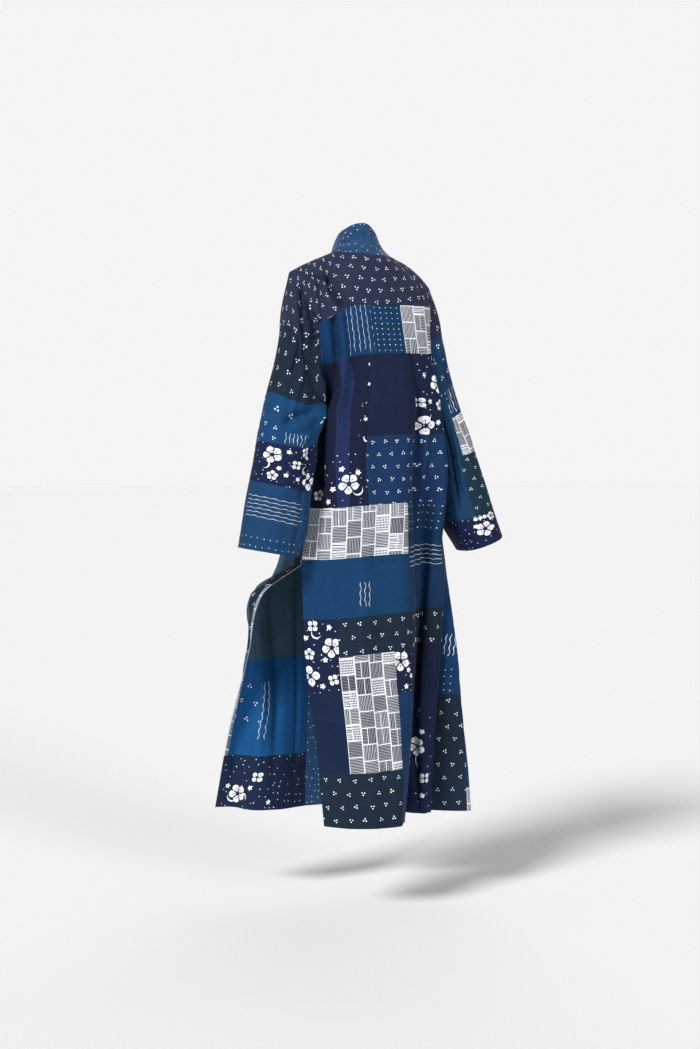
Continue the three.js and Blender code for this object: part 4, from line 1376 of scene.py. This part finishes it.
# ---------- the patches of each piece: cloth, across from and to, down from and to ----------
BACK_PATCHES = (
    ("blue_plain", 0, 0.2, 0, 0.12),
    ("blue_long_waves", 0.2, 0.41, 0, 0.12),
    ("blue_small_dots", 0.41, 0.65, 0, 0.12),
    ("hatch", 0.65, 1, 0, 0.12),
    ("violet_navy_blossoms", 0, 0.35, 0.12, 0.445),
    ("dark_navy_plain", 0.35, 0.71, 0.12, 0.31),
    ("navy_blossoms_blade", 0.71, 1, 0.12, 0.31),
    ("indigo_triple_dots", 0.35, 1, 0.31, 0.445),
    ("hatch", 0, 0.578, 0.445, 0.545),
    ("blue_rows_and_waves", 0.578, 1, 0.445, 0.645),
    ("blue_three_waves", 0, 0.578, 0.545, 0.645),
    ("navy_blossoms_seat", 0, 0.178, 0.645, 0.767),
    ("teal_triple_dots", 0.178, 0.578, 0.645, 0.708),
    ("teal_triple_dots", 0.578, 1, 0.645, 0.708),
    ("navy_plain", 0, 0.178, 0.767, 0.904),
    ("hatch_low", 0.178, 0.47, 0.708, 0.904),
    ("navy_one_blossom", 0.47, 0.578, 0.708, 0.777),
    ("blue_plain", 0.47, 0.578, 0.777, 1),
    ("teal_triple_dots", 0, 0.47, 0.904, 1),
    ("dark_navy_plain", 0.578, 1, 0.708, 0.795),
    ("navy_blossoms_fold", 0.578, 1, 0.795, 1),
)
LEFT_FRONT_PATCHES = (
    ("blue_plain", 0.15, 1, 0, 0.25),
    ("teal_triple_dots", 0, 0.15, 0, 0.72),
    ("hatch", 0.15, 0.6, 0.25, 0.4),
    ("indigo_triple_dots", 0.6, 1, 0.25, 0.5),
    ("dark_navy_plain", 0.15, 0.6, 0.4, 0.5),
    # the inside of this front is seen in shade; its navy is painted lighter to make up for it
    ("navy_front", 0.15, 1, 0.5, 0.735),
    ("navy_front", 0.045, 0.15, 0.72, 0.735),
    ("hatch", 0, 0.045, 0.6, 0.905),
    ("blue_large_dots", 0.045, 1, 0.735, 0.905),
    ("navy_blossoms_hem", 0, 1, 0.905, 1),
)
RIGHT_FRONT_PATCHES = (
    ("blue_plain", 0, 1, 0, 0.3),
    ("blue_plain", 0, 0.25, 0.3, 0.69),
    ("indigo_triple_dots", 0.25, 1, 0.3, 0.5),
    ("hatch", 0.25, 1, 0.5, 0.62),
    ("navy_scattered", 0.25, 1, 0.62, 0.8),
    ("blue_short_waves", 0, 0.25, 0.69, 0.797),
    ("teal_triple_dots", 0, 0.25, 0.797, 1),
    ("blue_plain", 0.25, 1, 0.8, 0.96),
    ("hatch", 0.25, 1, 0.96, 1),
)
YOKE_PATCHES = (("yoke_triple_dots", 0, 1, 0, 1),)
COLLAR_PATCHES = (("collar_blue", 0, 1, 0, 1),)
LEFT_SLEEVE_PATCHES = (
    ("yoke_triple_dots", -1, 1, 0, 0.15),
    ("dark_teal_triple_dots", -1, 1, 0.15, 0.347),
    ("blue_dots_and_strokes", -1, 1, 0.347, 0.52),
    ("navy_blossoms_arm", -1, 1, 0.52, 0.7),
    ("blue_cross_waves", -1, 1, 0.7, 1),
)
RIGHT_SLEEVE_PATCHES = (
    ("yoke_triple_dots", -1, 1, 0, 0.13),
    ("teal_blue_dots", -1, 1, 0.13, 0.39),
    ("teal_blue_plain", 0.245, 1, 0.3, 0.85),
    ("blue_plain", -1, -0.05, 0.39, 0.555),
    ("hatch", -0.05, 0.245, 0.39, 0.555),
    ("teal_arm_dots", -1, 0.27, 0.555, 0.85),
    ("navy_blossoms_cuff", -1, 1, 0.85, 1),
)

# ---------- the robe ----------
# piece, its node, its slot, surface, facing, cut width and length, patches, creases, folds
FLAT_PIECES = (
    ("yoke_cloth", "yoke", "yoke_cloth", yoke_point, 1, 560, 110, YOKE_PATCHES, YOKE_CREASES, ()),
    ("collar_cloth", "collar", "collar_cloth", collar_point, -1, 420, 60,
     COLLAR_PATCHES, COLLAR_CREASES, ()),
    ("back_cloth", "back", "body_cloth", tilted_back, 1, 420, 1180,
     BACK_PATCHES, BACK_CREASES, BACK_FOLDS),
    ("front_left_cloth", "front_left", "body_cloth", left_front_point, -1, 240, 1180,
     LEFT_FRONT_PATCHES, HELD_CREASES, FRONT_FOLDS),
    ("front_right_cloth", "front_right", "body_cloth", right_front_point, 1, 240, 1180,
     RIGHT_FRONT_PATCHES, FRONT_CREASES, FRONT_FOLDS),
    ("front_band_left_cloth", "front_band_left", "collar_cloth", left_band_point, -1, 50, 1180,
     COLLAR_PATCHES, BAND_CREASES, ()),
    ("front_band_right_cloth", "front_band_right", "collar_cloth", right_band_point, 1, 50, 1180,
     COLLAR_PATCHES, BAND_CREASES, ()),
)
SLEEVES = (
    ("sleeve_left_cloth", "sleeve_left", "sleeve_cloth", left_sleeve_point, 1, 560, 640,
     LEFT_SLEEVE_PATCHES, LEFT_SLEEVE_CREASES, SLEEVE_FOLDS),
    ("sleeve_right_cloth", "sleeve_right", "sleeve_cloth", right_sleeve_point, -1, 560, 640,
     RIGHT_SLEEVE_PATCHES, RIGHT_SLEEVE_CREASES, SLEEVE_FOLDS),
)
FINE_STEP = 2.2                # of the net of the yoke and the collar, in mm
SHORT_CUT = 200                # a piece that is shorter than this has the finer net


def dress(name, node, slot, surface, facing, width, length, patches, creases, folds, **cut):
    """Cuts a piece, hangs it from the root and hides the form's part that it replaces."""
    piece, area = cut_piece(name, surface, facing, width, length, patches, creases, folds, **cut)
    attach(piece, "root")
    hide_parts(node)
    width * MM
    length * MM
    min(area, width * length * MM * MM)


for row in FLAT_PIECES:
    short = row[6] < SHORT_CUT
    # every piece but the yoke has the painted highlight on its cut edges
    dress(*row, step=FINE_STEP if short else STEP, centred=short, edged=row[1] != "yoke")
for row in SLEEVES:
    dress(*row, first=WRAP, closed=True, heads=True)


# ---------- floor, light and camera ----------
FLOOR_Z = -1.48
STAGE_TONE = 0.9
STAGE_ROUGHNESS = 0.9


def stage_piece(name, width, length, place):
    sheet = bmesh.new()
    bmesh.ops.create_grid(sheet, x_segments=1, y_segments=1, size=0.5,
                          matrix=place @ Matrix.Diagonal((width, length, 1, 1)))
    mesh = bpy.data.meshes.new(name)
    sheet.to_mesh(mesh)
    sheet.free()
    piece = bpy.data.objects.new(name, mesh)
    bpy.context.scene.collection.objects.link(piece)
    paint = bpy.data.materials.get("pale_stage") or bpy.data.materials.new("pale_stage")
    paint.use_nodes = True
    shader = paint.node_tree.nodes["Principled BSDF"]
    shader.inputs["Base Color"].default_value = (STAGE_TONE, STAGE_TONE, STAGE_TONE, 1)
    shader.inputs["Roughness"].default_value = STAGE_ROUGHNESS
    mesh.materials.append(paint)


stage_piece("floor", 60, 60, Matrix.Translation((0, 0, FLOOR_Z)))

CAMERA_AT = Vector((1.539, 4.229, -0.379))
CAMERA_AZIMUTH = math.radians(160.319)
CAMERA_PITCH = math.radians(2.9)
LENS = 67.64
SENSOR = 36


def add_sun(name, azimuth, height, strength, angle):
    """A distant soft light: its azimuth is that of a camera which would look the same way."""
    lamp = bpy.data.lights.new(name, "SUN")
    lamp.energy = strength
    lamp.angle = math.radians(angle)
    holder = bpy.data.objects.new(name, lamp)
    bpy.context.scene.collection.objects.link(holder)
    side, up = math.radians(azimuth), math.radians(height)
    source = Vector((math.sin(side) * math.cos(up), -math.cos(side) * math.cos(up), math.sin(up)))
    holder.rotation_euler = source.to_track_quat("Z", "Y").to_euler()


add_sun("key", 126, 40, 2.78, 16)
add_sun("fill", 196, 18, 1.0, 20)
add_sun("front", 330, 35, 0.7, 60)

ROOM_LIGHT = 0.21
BACKDROP_TONE = 0.907
world = bpy.data.worlds.new("studio")
world.use_nodes = True
sky = world.node_tree
seen = sky.nodes.new("ShaderNodeLightPath")
level = sky.nodes.new("ShaderNodeMapRange")
sky.links.new(seen.outputs["Is Camera Ray"], level.inputs["Value"])
level.inputs["To Min"].default_value = ROOM_LIGHT
level.inputs["To Max"].default_value = BACKDROP_TONE
sky.links.new(level.outputs["Result"], sky.nodes["Background"].inputs["Strength"])
sky.nodes["Background"].inputs["Color"].default_value = (1, 1, 1, 1)
bpy.context.scene.world = world
bpy.context.scene.view_settings.view_transform = "Standard"

lens = bpy.data.cameras.new("view")
lens.lens = LENS
lens.sensor_fit = "VERTICAL"
lens.sensor_height = SENSOR
lens.sensor_width = SENSOR
camera = bpy.data.objects.new("view", lens)
bpy.context.scene.collection.objects.link(camera)
looks = Vector((-math.sin(CAMERA_AZIMUTH) * math.cos(CAMERA_PITCH),
                math.cos(CAMERA_AZIMUTH) * math.cos(CAMERA_PITCH), -math.sin(CAMERA_PITCH)))
turned = looks.to_track_quat("-Z", "Y").to_matrix().to_4x4()
camera.matrix_world = Matrix.Translation(CAMERA_AT) @ turned
bpy.context.scene.camera = camera
